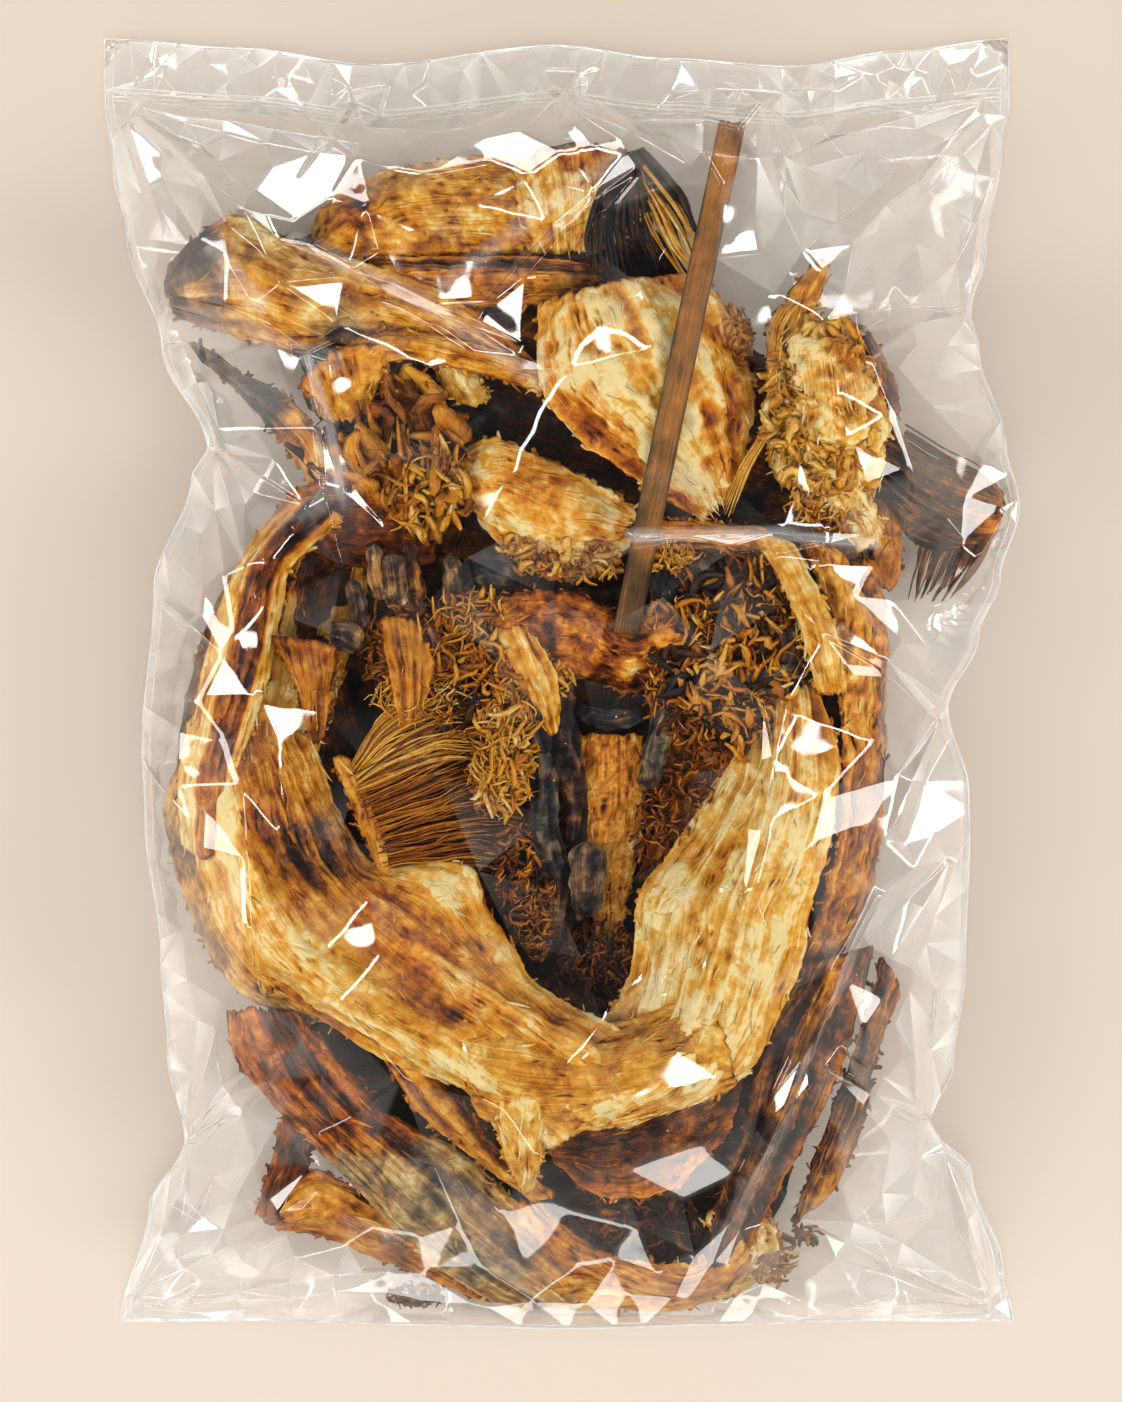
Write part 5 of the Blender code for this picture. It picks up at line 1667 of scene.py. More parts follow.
@dataclass
class BagOutline:
    """Where the seams, the zip and the header run, and how high they ride."""

    width: float = 321.0
    length: float = 453.0
    header: float = 19.0
    left: Stations = field(default_factory=lambda: [
        (0, 5.8), (40, 16.0), (65, 29.2), (96, 23.6), (133, 21.2), (176, 16.3), (203, 15.2), (259, 19.5),
        (297, 32.4), (308, 38.0), (342, 22.0), (383, 8.6), (406, 3.7), (434, 0.2), (453, 0.0)])
    right: Stations = field(default_factory=lambda: [
        (0, 0.0), (19, 4.0), (53, 15.2), (71, 30.6), (92, 22.6), (124, 18.7), (173, 17.3), (188, 17.7),
        (217, 25.0), (242, 14.2), (262, 6.8), (287, 0.0), (309, 4.7), (342, 13.8), (355, 16.6), (377, 10.7),
        (414, 4.7), (432, 1.6), (453, 1.9)])
    top_sag: Stations = field(default_factory=lambda: [
        (0, 0), (.15, 3.4), (.30, 9.6), (.50, 2.4), (.62, 7.2), (.76, 10.2), (.88, 4.4), (1, 0)])
    bottom_sag: Stations = field(default_factory=lambda: [(0, 0), (.25, 1), (.5, 0), (.75, 1), (1, 0)])
    side_height: Stations = field(default_factory=lambda: [
        (0, .5), (.08, 9), (.22, 30), (.42, 40), (.62, 42), (.76, 34), (.88, 13), (.955, 3), (1, 1.2)])
    bottom_height: Stations = field(default_factory=lambda: [
        (0, .5), (.14, 5), (.32, 26), (.5, 34), (.68, 26), (.86, 5), (1, .5)])
    zip_height: Stations = field(default_factory=lambda: [
        (0, 2), (.15, 4), (.30, 8), (.50, 4.5), (.76, 8.5), (.9, 4), (1, 2)])

    def plan(self, share: Array, up: Array) -> Array:
        """X and Y of places given as a share across the bag and a distance up it.

        Args:
            share: 0 at the left seam, 1 at the right one.
            up: millimetres from the bottom seam.

        Returns:
            One row of two for each place.
        """
        share, up = np.broadcast_arrays(np.asarray(share, float), np.asarray(up, float))
        left = -self.width / 2 + along_stations(self.left, up)
        right = self.width / 2 - along_stations(self.right, up)
        part = up / self.length
        y = (up - self.length / 2 - along_stations(self.top_sag, share) * part**3
             + along_stations(self.bottom_sag, share) * (1 - part) ** 6)
        return np.stack([left + (right - left) * share, y], -1)

    def rim(self, count: tuple[int, int]) -> Array:
        """Points round the rim with their heights, anticlockwise from the bottom left corner.

        Args:
            count: how many steps across and up.

        Returns:
            One row of three for each point.
        """
        across, up = np.linspace(0, 1, count[0] + 1), np.linspace(0, self.length, count[1] + 1)
        bottom = np.column_stack([self.plan(across[:-1], 0),
                                  along_stations(self.bottom_height, across[:-1])])
        side = along_stations(self.side_height, up / self.length)
        right = np.column_stack([self.plan(1, up[:-1]), side[:-1]])
        top = np.column_stack([self.plan(across[:0:-1], self.length),
                               along_stations(self.zip_height, across[:0:-1]) + 3])
        left = np.column_stack([self.plan(0, up[:0:-1]), side[:0:-1]])
        return np.concatenate([bottom, right, top, left])

    def zip_line(self, count: int, offset: float = 0.0) -> Array:
        """Points along the zip, or beside it, with their heights."""
        share = np.linspace(0, 1, count)
        place = self.plan(share, self.length - self.header + offset)
        return np.column_stack([place, along_stations(self.zip_height, share)])


@dataclass
class HeightField:
    """Heights on an even grid over the bag, from its least corner."""

    step: float = 3.0
    reach: tuple[float, float] = (165.0, 231.0)

    def __post_init__(self) -> None:
        """Lays out the grid."""
        self.columns = int(2 * self.reach[0] / self.step) + 1
        self.rows = int(2 * self.reach[1] / self.step) + 1
        x = -self.reach[0] + np.arange(self.columns) * self.step
        y = -self.reach[1] + np.arange(self.rows) * self.step
        self.x, self.y = np.meshgrid(x, y)

    def gathered(self, points: Array, lowest: bool = False) -> Array:
        """Highest or lowest point in each cell; places without any stay at -999 or 999."""
        grid = np.full((self.rows, self.columns), 999.0 if lowest else -999.0)
        column = np.rint((points[:, 0] + self.reach[0]) / self.step).astype(int)
        row = np.rint((points[:, 1] + self.reach[1]) / self.step).astype(int)
        column, row = np.clip(column, 0, self.columns - 1), np.clip(row, 0, self.rows - 1)
        (np.minimum if lowest else np.maximum).at(grid, (row, column), points[:, 2])
        wider = np.pad(grid, 1, mode="edge")
        near = [wider[dy:dy + self.rows, dx:dx + self.columns] for dy in range(3) for dx in range(3)]
        return np.min(near, axis=0) if lowest else np.max(near, axis=0)

    def taut(self, rim: Array, low: Array, high: Array, rounds: int = 2600) -> Array:
        """A taut sheet held at the rim that stays between two height fields.

        Args:
            rim: points of the rim, in order.
            low: least height of each cell.
            high: greatest height of each cell.
            rounds: how often the sheet is relaxed.

        Returns:
            Its height at each cell.
        """
        here = np.stack([self.x.ravel(), self.y.ravel()], 1)
        far = ((here[:, None, :] - rim[None, :, :2]) ** 2).sum(2)
        nearest = far.argmin(1).reshape(self.rows, self.columns)
        inside = inside_polygon(here, rim[:, :2]).reshape(self.rows, self.columns)
        held = ~inside
        sheet = np.where(held, rim[nearest, 2], np.clip(40.0, low, high))
        for _ in range(rounds):
            pulled = sheet.copy()
            pulled[1:-1, 1:-1] = (sheet[:-2, 1:-1] + sheet[2:, 1:-1]
                                  + sheet[1:-1, :-2] + sheet[1:-1, 2:]) / 4
            sheet = np.where(held, sheet, np.clip(sheet + (pulled - sheet), low, high))
        return sheet

    def read(self, grid: Array, places: Array) -> Array:
        """Heights of a grid at any places, smoothly between its points."""
        u = np.clip((places[:, 0] + self.reach[0]) / self.step, 0, self.columns - 1.001)
        v = np.clip((places[:, 1] + self.reach[1]) / self.step, 0, self.rows - 1.001)
        column, row = u.astype(int), v.astype(int)
        a, b = u - column, v - row
        return ((grid[row, column] * (1 - a) + grid[row, column + 1] * a) * (1 - b)
                + (grid[row + 1, column] * (1 - a) + grid[row + 1, column + 1] * a) * b)


def inside_polygon(places: Array, polygon: Array) -> Array:
    """Whether each place lies inside a polygon."""
    inside = np.zeros(len(places), bool)
    x, y = places[:, 0], places[:, 1]
    for (ax, ay), (bx, by) in zip(polygon, np.roll(polygon, -1, axis=0)):
        crosses = (ay > y) != (by > y)
        if ay != by:
            inside ^= crosses & (x < (bx - ax) * (y - ay) / (by - ay) + ax)
    return inside


@dataclass
class Pleat:
    """A pleat of the film that opens from a corner or a pinch: a sharp crest between two valleys."""

    start: tuple[float, float]
    end: tuple[float, float]
    width: float
    height: float


@dataclass
class FoldBand:
    """A stretch of film that lies double: a milky band along a line."""

    line: list[tuple[float, float]]
    width: float
    haze: float

    def haze_at(self, points: Array) -> Array:
        """How much milkier the film is at each point."""
        best = np.full(len(points), 1e9)
        for a, b in zip(self.line, self.line[1:]):
            start, run = np.array(a), np.array(b) - np.array(a)
            share = np.clip(((points[:, :2] - start) @ run) / (run @ run), 0, 1)
            best = np.minimum(best, np.hypot(*(points[:, :2] - start - share[:, None] * run).T))
        rim = np.exp(-(((best - self.width / 2) / 0.8) ** 2)) * 0.6
        return self.haze * ((1 - eased(best, self.width / 2 - 0.8, self.width / 2 + 0.8)) + rim)


@dataclass
class ClearFilm:
    """The bag itself: two sheets joined along the seams, a zip, a header band and bright cut edges.

    sharp, least, over and veil are filled in on the way: the sharp creases, the least height of the
    upper sheet, where it lies over the contents, and how milky its facets are, the pale ones partly as
    painted highlight.
    """

    film: bpy.types.Material
    edge: bpy.types.Material
    outline: BagOutline = field(default_factory=BagOutline)
    field_grid: HeightField = field(default_factory=HeightField)
    clearance: float = 0.8
    ceiling: float = 107.0
    lift_cap: float = 106.0
    least_turn: float = 20.0
    crease_points: tuple[int, int] = (620, 260)
    header_points: int = 46
    bare_veil: float = 0.19
    zip_slack: float = 14.0
    seam_room: float = 12.0
    seam_slope: float = 1.7
    full_height: float = 76.0
    pleats: list[Pleat] = field(default_factory=lambda: [
        Pleat((-153, 203), (-96, 152), 9, 5), Pleat((-152, 203), (-54, 184), 7, 4),
        Pleat((-154, 200), (-132, 150), 8, 4), Pleat((-120, 82), (-86, 60), 9, 5),
        Pleat((-120, 82), (-108, 40), 8, 4), Pleat((-120, 84), (-132, 118), 8, 4),
        Pleat((-138, 30), (-118, 10), 8, 3), Pleat((-143, -30), (-128, -50), 8, 3),
        Pleat((154, 203), (90, 140), 10, 6), Pleat((155, 200), (142, 126), 9, 5),
        Pleat((148, 205), (84, 184), 8, 5), Pleat((143, 128), (104, 118), 8, 5),
        Pleat((157, 60), (136, 30), 9, 4), Pleat((134, -10), (96, 22), 9, 5),
        Pleat((134, -12), (112, -54), 8, 4), Pleat((138, -60), (116, -96), 9, 4),
        Pleat((0, 206), (-28, 186), 7, 4), Pleat((0, 206), (44, 176), 7, 4),
        Pleat((2, 206), (6, 184), 6, 3),
        Pleat((-70, 203), (-84, 170), 7, 3), Pleat((70, 202), (76, 160), 8, 4),
        Pleat((-152, -222), (-82, -176), 9, 5), Pleat((-152, -223), (-60, -212), 7, 4),
        Pleat((-152, -218), (-128, -170), 8, 5), Pleat((-130, -161), (-98, -138), 8, 4),
        Pleat((-130, -161), (-118, -120), 8, 4), Pleat((156, -222), (84, -188), 9, 5),
        Pleat((156, -223), (70, -216), 7, 4), Pleat((154, -218), (134, -166), 8, 5),
        Pleat((129, -156), (92, -132), 9, 5), Pleat((129, -156), (122, -108), 8, 4),
        Pleat((20, 48), (108, 46), 5, 4), Pleat((114, -64), (46, -216), 6, 5),
        Pleat((-140, 132), (-78, 116), 6, 5), Pleat((-88, 116), (-76, 64), 6, 5),
        Pleat((14, -122), (64, -76), 9, 4), Pleat((64, -76), (78, -8), 7, 3),
        Pleat((-92, 150), (-14, 112), 5, 4), Pleat((-30, 126), (26, 178), 5, 4)])
    bands: list[FoldBand] = field(default_factory=lambda: [
        FoldBand([(115, -60), (100, -108), (84, -150), (46, -217)], 9, 0.05),
        FoldBand([(25, 49), (70, 50), (109, 47)], 2.6, 0.22),
        FoldBand([(-143, 123), (-112, 118), (-78, 110)], 7, 0.10),
        FoldBand([(-87, 112), (-79, 88), (-75, 63)], 2.4, 0.20),
        FoldBand([(-119, 147), (-112, 138), (-104, 130)], 7, 0.16),
        FoldBand([(-126, 118), (-98, 92), (-77, 66)], 18, 0.05),
        FoldBand([(-91, 152), (-50, 132), (-7, 103)], 4, 0.12),
        FoldBand([(-40, 136), (-14, 156), (21, 181)], 4, 0.12),
        FoldBand([(-104, 56), (-84, 60), (-76, 72)], 6, 0.10)])
    seed: int = 5
    sharp: Array | None = None
    least: Array | None = None
    over: Array | None = None
    veil_and_painted_glare: Array | None = None

    def nodes(self, base: Array, top_sheet: bool) -> tuple[Array, list[tuple[int, int]], int]:
        """Lays out the creases of one sheet.

        Args:
            base: taut height of the sheet on the grid.
            top_sheet: whether it is the upper one.

        Returns:
            Crease points with their heights, the creases, and how many points are on the rim.
        """
        rng = np.random.default_rng(self.seed + (0 if top_sheet else 1))
        rim = self.outline.rim((36, 50))
        zip_line = self.outline.zip_line(37)[1:-1]
        points, creases = [rim, zip_line], []
        lift = 1.0 if top_sheet else -0.6
        zip_line = zip_line + [0, 0, 0.9 * lift]
        points[1] = zip_line
        start = len(rim)
        creases += [(start + i, start + i + 1) for i in range(len(zip_line) - 1)]
        taken = [rim[:, :2], zip_line[:, :2]]
        count = len(rim) + len(zip_line)
        if top_sheet:
            for pleat in self.pleats:
                a, b = np.array(pleat.start), np.array(pleat.end)
                run = (b - a) / np.linalg.norm(b - a)
                side = np.array([-run[1], run[0]])
                steps = max(3, int(np.linalg.norm(b - a) / 14))
                for offset, crest in ((-1, 0.0), (0, 1.0), (1, 0.0)):
                    share = np.linspace(0.06, 1, steps)
                    plan = (a + (b - a) * share[:, None]
                            + side * (offset * pleat.width * (0.25 + 0.75 * share))[:, None]
                            + rng.normal(0, 0.8, (steps, 2)))
                    swell = np.sin(np.clip(share * 1.1, 0, 1) * math.pi) ** 0.6
                    height = (self.field_grid.read(base, plan) + crest * pleat.height * swell
                              - (1 - crest) * 0.6)
                    points.append(np.column_stack([plan, height]))
                    creases += [(count + i, count + i + 1) for i in range(steps - 1)]
                    taken.append(plan)
                    count += steps
        known = np.concatenate(taken)
        wanted = self.crease_points[0 if top_sheet else 1]
        chosen: list[Array] = []
        tries = rng.uniform([-158, -224], [158, 208], (9000, 2))
        tries = tries[inside_polygon(tries, rim[:, :2])]
        for place in tries:
            margin = 1 - math.exp(-((np.hypot(place[0] / 1.15, (place[1] + 6) / 1.9) / 100) ** 6))
            room = (25 - 12 * margin) if top_sheet else 20
            if np.min(np.hypot(*(known - place).T)) > room * 0.62 and (
                    not chosen or np.min(np.hypot(*(np.array(chosen) - place).T)) > room * 0.8):
                chosen.append(place)
            if len(chosen) >= wanted:
                break
        scatter = np.array(chosen)
        height = self.field_grid.read(base, scatter)
        wobble = rng.normal(0, 1, len(scatter))
        off_fish = 1 - np.exp(-((np.hypot(scatter[:, 0] / 1.15, (scatter[:, 1] + 6) / 1.9) / 92) ** 6))
        height = height + np.clip(wobble, -1.4, 2.0) * ((0.5 + 2.6 * off_fish) if top_sheet else 0.9)
        if not top_sheet:
            height = np.maximum(height, 0.3)
        points.append(np.column_stack([scatter, height]))
        header = self.outline.plan(rng.uniform(0.03, 0.97, self.header_points),
                                   self.outline.length - rng.uniform(5, 15, self.header_points))
        share = (header[:, 0] + 158) / 316
        rise = (along_stations(self.outline.zip_height, share) + 1.6
                + rng.normal(0, 0.7, self.header_points) + 0.5 * lift)
        points.append(np.column_stack([header, rise]))
        return np.concatenate(points), creases, len(rim)

    def sheet(self, base: Array, top_sheet: bool) -> tuple[Array, Array]:
        """One sheet as a fine mesh of flat facets.

        Args:
            base: taut height of the sheet on the grid.
            top_sheet: whether it is the upper one.

        Returns:
            Points and triangles, facing up.
        """
        points, creases, rim_count = self.nodes(base, top_sheet)
        places, _, triangles, origins, _, _ = delaunay_2d_cdt(
            [Vector(point[:2]) for point in points], creases, [list(range(rim_count))], 1, 1e-4)
        plan = np.array([tuple(place) for place in places])
        height = np.array([points[origin[0], 2] if origin else np.nan for origin in origins])
        lost = np.isnan(height)
        height[lost] = self.field_grid.read(base, plan[lost]) + (1.5 if top_sheet else 0)
        corners = np.column_stack([plan, height])
        faces = np.array([tuple(face) for face in triangles])
        first, second, third = (corners[faces[:, k], :2] for k in range(3))
        spin = np.cross(second - first, third - first)
        faces[spin < 0] = faces[spin < 0][:, ::-1]
        if top_sheet:
            held = np.array([bool(origin) and origin[0] < rim_count + 35 for origin in origins])
            self.lift_clear(corners, faces, held)
            self.sharp = sharp_edges(corners, faces, self.least_turn)
            self.veil_and_painted_glare = self.facet_veil_and_painted_glare(corners, faces)
        for _ in range(FACET_SPLITS):
            corners, faces = halved(corners, faces)
        return corners, faces

    def lift_clear(self, corners: Array, faces: Array, held: Array) -> None:
        """Raises the free corners of the upper sheet until its facets clear the contents.

        Args:
            corners: corners of the facets; their heights change in place.
            faces: the facets.
            held: which corners stay where they are.
        """
        share = facet_shares(len(faces), FACET_SPLITS)
        pull = share / (share**2).sum(2, keepdims=True)
        owner = np.arange(len(share)) % len(faces)
        for _ in range(10):
            spots = (corners[faces[owner]][:, None, :, :] * share[..., None]).sum(2)
            least = self.field_grid.read(self.least, spots.reshape(-1, 3))
            lack = (least - spots[..., 2].ravel()).reshape(-1, 3)
            lift = np.zeros(len(corners))
            corner = faces[owner][:, None, :].repeat(3, 1).ravel()
            np.maximum.at(lift, corner, (lack[..., None] * pull).ravel())
            free = corners[~held, 2]
            corners[~held, 2] = np.minimum(free + 0.9 * lift[~held], np.maximum(free, self.lift_cap))

    def facet_veil_and_painted_glare(self, corners: Array, faces: Array) -> Array:
        """How milky each facet of the upper sheet is at its corners; the pale facets are partly painted
        highlight.

        Args:
            corners: corners of the facets.
            faces: the facets.

        Returns:
            Facets by corners: most are clear, a few random ones pale, partly as painted highlight.
        """
        rng = np.random.default_rng(self.seed + 7)
        middle = corners[faces].mean(1)
        off_fish = 1 - self.field_grid.read(self.over, middle)
        # painted highlight: a few random facets, mostly off the fish, are painted pale in place of glare
        strength = rng.uniform(0, 1, len(faces)) ** 5 * (0.08 + 0.62 * np.clip(off_fish, 0, 1))
        values = rng.uniform(0, 0.25, (len(faces), 3))
        values[np.arange(len(faces)), rng.integers(0, 3, len(faces))] = 1.0
        return values * strength[:, None] + self.bare_veil * np.clip(off_fish, 0, 1)[:, None]

    def build(self, contents: Array) -> list[bpy.types.Object]:
        """Builds both sheets over and under the contents, and the trims.

        Args:
            contents: every point of what is in the bag, in millimetres.

        Returns:
            The new pieces.
        """
        grid = self.field_grid
        rim = self.outline.rim((108, 150))
        roof = grid.gathered(contents) + self.clearance
        floor = grid.gathered(contents, lowest=True) - 0.6
        smooth = blurred(spread(np.maximum(roof, 0), 2), 6)
        self.least = np.maximum(roof, 0.3)
        self.over = blurred(np.clip(roof, 0, 1))
        upper_base = grid.taut(rim, np.maximum(np.maximum(smooth, roof), 0.8),
                               np.full_like(roof, self.ceiling))
        lower_base = grid.taut(rim, np.zeros_like(floor) + 0.3, np.clip(floor, 0.4, None))
        lower_base = np.minimum(lower_base, upper_base - 1.0)
        from_rim = self.rim_distance(grid)
        noise = Grain(self.seed)
        sheets = []
        for base, top_sheet in ((upper_base, True), (lower_base, False)):
            points, faces = self.sheet(base, top_sheet)
            taut = grid.read(self.least if top_sheet else base, points)
            inner = eased(grid.read(from_rim, points), 1.6, 10.0)
            pouch = eased(self.outline.length / 2 - self.outline.header - points[:, 1], -2, 6)
            ripple = noise.layered(points / 21.0 + (0 if top_sheet else 9), 2) * 0.5
            if top_sheet:
                level = np.maximum(points[:, 2], np.where(pouch > 0.5, taut, -99))
                points[:, 2] = np.where(inner > 0, level + ripple * inner, points[:, 2])
                points[:, 2] = np.where(inner * pouch > 0.9, np.maximum(points[:, 2], taut), points[:, 2])
            else:
                level = np.minimum(points[:, 2], np.where(pouch > 0.5, taut, 99))
                level = np.maximum(level + ripple * inner * 0.6, 0.2)
                points[:, 2] = np.where(inner > 0, level, points[:, 2])
            sheets.append([points, faces])
        upper, lower = sheets
        points = np.concatenate([upper[0], lower[0]])
        faces = np.concatenate([upper[1], lower[1][:, ::-1] + len(upper[0])])
        key = np.round(points * 200).astype(np.int64)
        _, kept, where = np.unique(key, axis=0, return_index=True, return_inverse=True)
        faces = where.ravel()[faces]
        points = points[kept]
        over_fish = grid.read(self.over, points)
        haze = 0.002 + 0.12 * (1 - over_fish) * (0.6 + 0.8 * noise.layered(points / 23.0, 3))
        haze = haze + 0.22 * np.exp(-np.clip(grid.read(from_rim, points), 0, None) / 1.6)
        on_top = points[:, 2] > grid.read(upper_base, points) - 3
        for band in self.bands:
            haze = haze + np.where(on_top, band.haze_at(points), 0)
        envelope = Shell(points, [faces], haze, np.zeros(len(points)), points.copy())
        pieces = [envelope.made("film_envelope", self.film, Slot.FILM)]
        self.paint_facets(pieces[0].data, haze, faces, upper)
        pieces.append(self.trims().made("film_edges_and_zip", self.edge, Slot.FILM))
        # pale tubes along the creases: stress whitening, partly painted highlight in place of crease glints
        pieces.append(self.creases(grid, upper_base).made("film_creases_and_painted_glints", self.edge, Slot.FILM))
        for piece in pieces:
            piece.visible_shadow = False
            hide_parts(BAG_NODE)
        return pieces

    def paint_facets(self, mesh: bpy.types.Mesh, haze: Array, faces: Array, upper: list[Array]) -> None:
        """Adds the milkiness of each big facet to the haze, corner by corner, so that it ends at creases;
        on the pale facets it is partly painted highlight.

        Args:
            mesh: the envelope.
            haze: haze of each point.
            faces: triangles of the envelope, those of the upper sheet first.
            upper: points and triangles of the upper sheet.
        """
        values = haze[faces]
        share = facet_shares(len(self.veil_and_painted_glare), FACET_SPLITS)
        owner = np.arange(len(upper[1])) % len(self.veil_and_painted_glare)
        values[:len(owner)] += (share * self.veil_and_painted_glare[owner][:, None, :]).sum(2)
        mesh.attributes.remove(mesh.attributes["tone"])
        layer = mesh.attributes.new("tone", "FLOAT", "CORNER")
        layer.data.foreach_set("value", np.clip(values, 0, 0.9).astype(np.float32).ravel())

    def press_down(self, contents: list[bpy.types.Object]) -> None:
        """Presses the contents flatter towards the seams and the zip, as a pillow pack does.

        Args:
            contents: pieces in the bag.
        """
        grid = self.field_grid
        from_rim = self.rim_distance(grid)
        zip_up = self.outline.length / 2 - self.outline.header
        for piece in contents:
            mesh = piece.data
            flat = np.empty(len(mesh.vertices) * 3, np.float32)
            mesh.vertices.foreach_get("co", flat)
            points = flat.reshape(-1, 3) / MM
            room = np.minimum(np.clip(grid.read(from_rim, points), 0, None),
                              zip_up - points[:, 1] + self.zip_slack)
            share = np.clip((self.seam_room + self.seam_slope * room) / self.full_height, 0.2, 1)
            points[:, 2] *= share ** 0.8
            mesh.vertices.foreach_set("co", (points * MM).astype(np.float32).ravel())
            mesh.update()

    def rim_distance(self, grid: HeightField) -> Array:
        """How far inside the rim each grid point lies, in plan; negative outside."""
        rim = self.outline.rim((320, 450))[:, :2]
        here = np.stack([grid.x.ravel(), grid.y.ravel()], 1)
        far = np.concatenate([np.sqrt(((part[:, None] - rim[None]) ** 2).sum(2).min(1))
                              for part in np.array_split(here, 20)])
        return np.where(inside_polygon(here, rim), far, -far).reshape(grid.rows, grid.columns)

    def creases(self, grid: HeightField, base: Array) -> Shell:
        """Whitened lines along the sharpest creases of the upper sheet off the fish, partly painted
        highlight standing in for the glints of the creases.

        Args:
            grid: the grid that heights are read on.
            base: taut height of the upper sheet on it.

        Returns:
            The lines as fine tubes.
        """
        rng = np.random.default_rng(self.seed)
        middle = self.sharp.mean(1)
        lines = self.sharp[grid.read(self.over, middle) < 0.55]
        share = np.linspace(0, 1, 5)
        path = lines[:, :1] * (1 - share)[None, :, None] + lines[:, 1:] * share[None, :, None]
        flat = path.reshape(-1, 3).copy()
        flat[:, 2] = np.maximum(flat[:, 2], grid.read(base, flat)) + 0.12
        path = flat.reshape(path.shape)
        width = rng.uniform(0.06, 0.2, (len(path), 1)) * (0.15 + 0.85 * np.sin(share * math.pi))[None, :]
        return tubes(path, width, np.full(len(path), 0.8), np.zeros(path.shape[:2]), np.zeros(len(path)),
                     np.tile([[0.0, 0.0, 1.0]], (len(path), 1)), sides=5)

    def trims(self) -> Shell:
        """Cut edge, weld lines and the ribs of the zip, as fine tubes."""
        edge = self.outline.rim((180, 260))
        closed = np.concatenate([edge, edge[:2]])
        lines = [(closed, 0.32)]
        for offset, radius in ((1.9, 0.42), (0.4, 0.34), (-1.2, 0.48), (-2.6, 0.3)):
            rib = self.outline.zip_line(210, offset)[2:-2]
            lines.append((rib + [0, 0, 1.5], radius))
        up = np.linspace(4, self.outline.length - 4, 190)
        side = along_stations(self.outline.side_height, up / self.outline.length)
        for share in (0.0088, 0.9912):
            weld = np.column_stack([self.outline.plan(share, up), side + 0.5])
            lines.append((weld, 0.22))
        shells = []
        for line, radius in lines:
            count = len(line)
            shells.append(tubes(line[None], np.full((1, count), radius), np.array([0.8]),
                                np.zeros((1, count)),
                                np.zeros(1), np.array([[0.0, 0.0, 1.0]]), sides=6))
        return Shell.joined(shells)


def spread(grid: Array, rounds: int = 1) -> Array:
    """A grid in which each cell takes the highest value round it, some cells wide."""
    for _ in range(rounds):
        wide = np.pad(grid, 1, mode="edge")
        grid = np.max([wide[1:-1, 1:-1], wide[:-2, 1:-1], wide[2:, 1:-1], wide[1:-1, :-2],
                       wide[1:-1, 2:]], axis=0)
    return grid


def blurred(grid: Array, rounds: int = 3) -> Array:
    """A grid smoothed by averaging each cell with its neighbours."""
    for _ in range(rounds):
        wide = np.pad(grid, 1, mode="edge")
        grid = (wide[1:-1, 1:-1] * 2 + wide[:-2, 1:-1] + wide[2:, 1:-1]
                + wide[1:-1, :-2] + wide[1:-1, 2:]) / 6
    return grid


def sharp_edges(points: Array, faces: Array, least: float) -> Array:
    """Both ends of the long edges where two triangles meet at more than the least angle.

    Args:
        points: corners of the facets.
        faces: the facets.
        least: the least angle, in degrees.

    Returns:
        Edges by ends by 3.
    """
    first, second, third = (points[faces[:, k]] for k in range(3))
    normal = unit(np.cross(second - first, third - first))
    edges = np.sort(np.concatenate([faces[:, [0, 1]], faces[:, [1, 2]], faces[:, [2, 0]]]), axis=1)
    owner = np.tile(np.arange(len(faces)), 3)
    order = np.lexsort((edges[:, 1], edges[:, 0]))
    edges, owner = edges[order], owner[order]
    same = (edges[1:] == edges[:-1]).all(1)
    turn = (normal[owner[1:]] * normal[owner[:-1]]).sum(1)
    chosen = same & (turn < math.cos(math.radians(least)))
    ends = points[edges[1:][chosen]]
    length = np.linalg.norm(ends[:, 0] - ends[:, 1], axis=1)
    return ends[length > 6]


def facet_shares(count: int, rounds: int) -> Array:
    """Shares of a facet's three corners in each corner of the small triangles it is split into.

    Args:
        count: how many facets there are.
        rounds: how often each is split into four, in the order of halved.

    Returns:
        Small triangles by corners by shares.
    """
    share = np.eye(3)[None].repeat(count, 0)
    for _ in range(rounds):
        a, b, c = share[:, 0], share[:, 1], share[:, 2]
        ab, bc, ca = (a + b) / 2, (b + c) / 2, (c + a) / 2
        share = np.concatenate([np.stack(part, 1) for part in
                                ((a, ab, ca), (ab, b, bc), (ca, bc, c), (ab, bc, ca))])
    return share


def halved(points: Array, faces: Array) -> tuple[Array, Array]:
    """Splits every triangle into four; new points lie halfway along the edges.

    Args:
        points: the points.
        faces: the triangles.

    Returns:
        The points with the new ones at the end, and four times as many triangles.
    """
    edges = np.concatenate([faces[:, [0, 1]], faces[:, [1, 2]], faces[:, [2, 0]]])
    edges.sort(axis=1)
    pairs, where = np.unique(edges, axis=0, return_inverse=True)
    middle = (points[pairs[:, 0]] + points[pairs[:, 1]]) / 2
    ab, bc, ca = (where.ravel().reshape(3, -1) + len(points))
    a, b, c = faces.T
    faces = np.concatenate([np.stack(part, 1) for part in
                            ((a, ab, ca), (ab, b, bc), (ca, bc, c), (ab, bc, ca))])
    return np.concatenate([points, middle]), faces


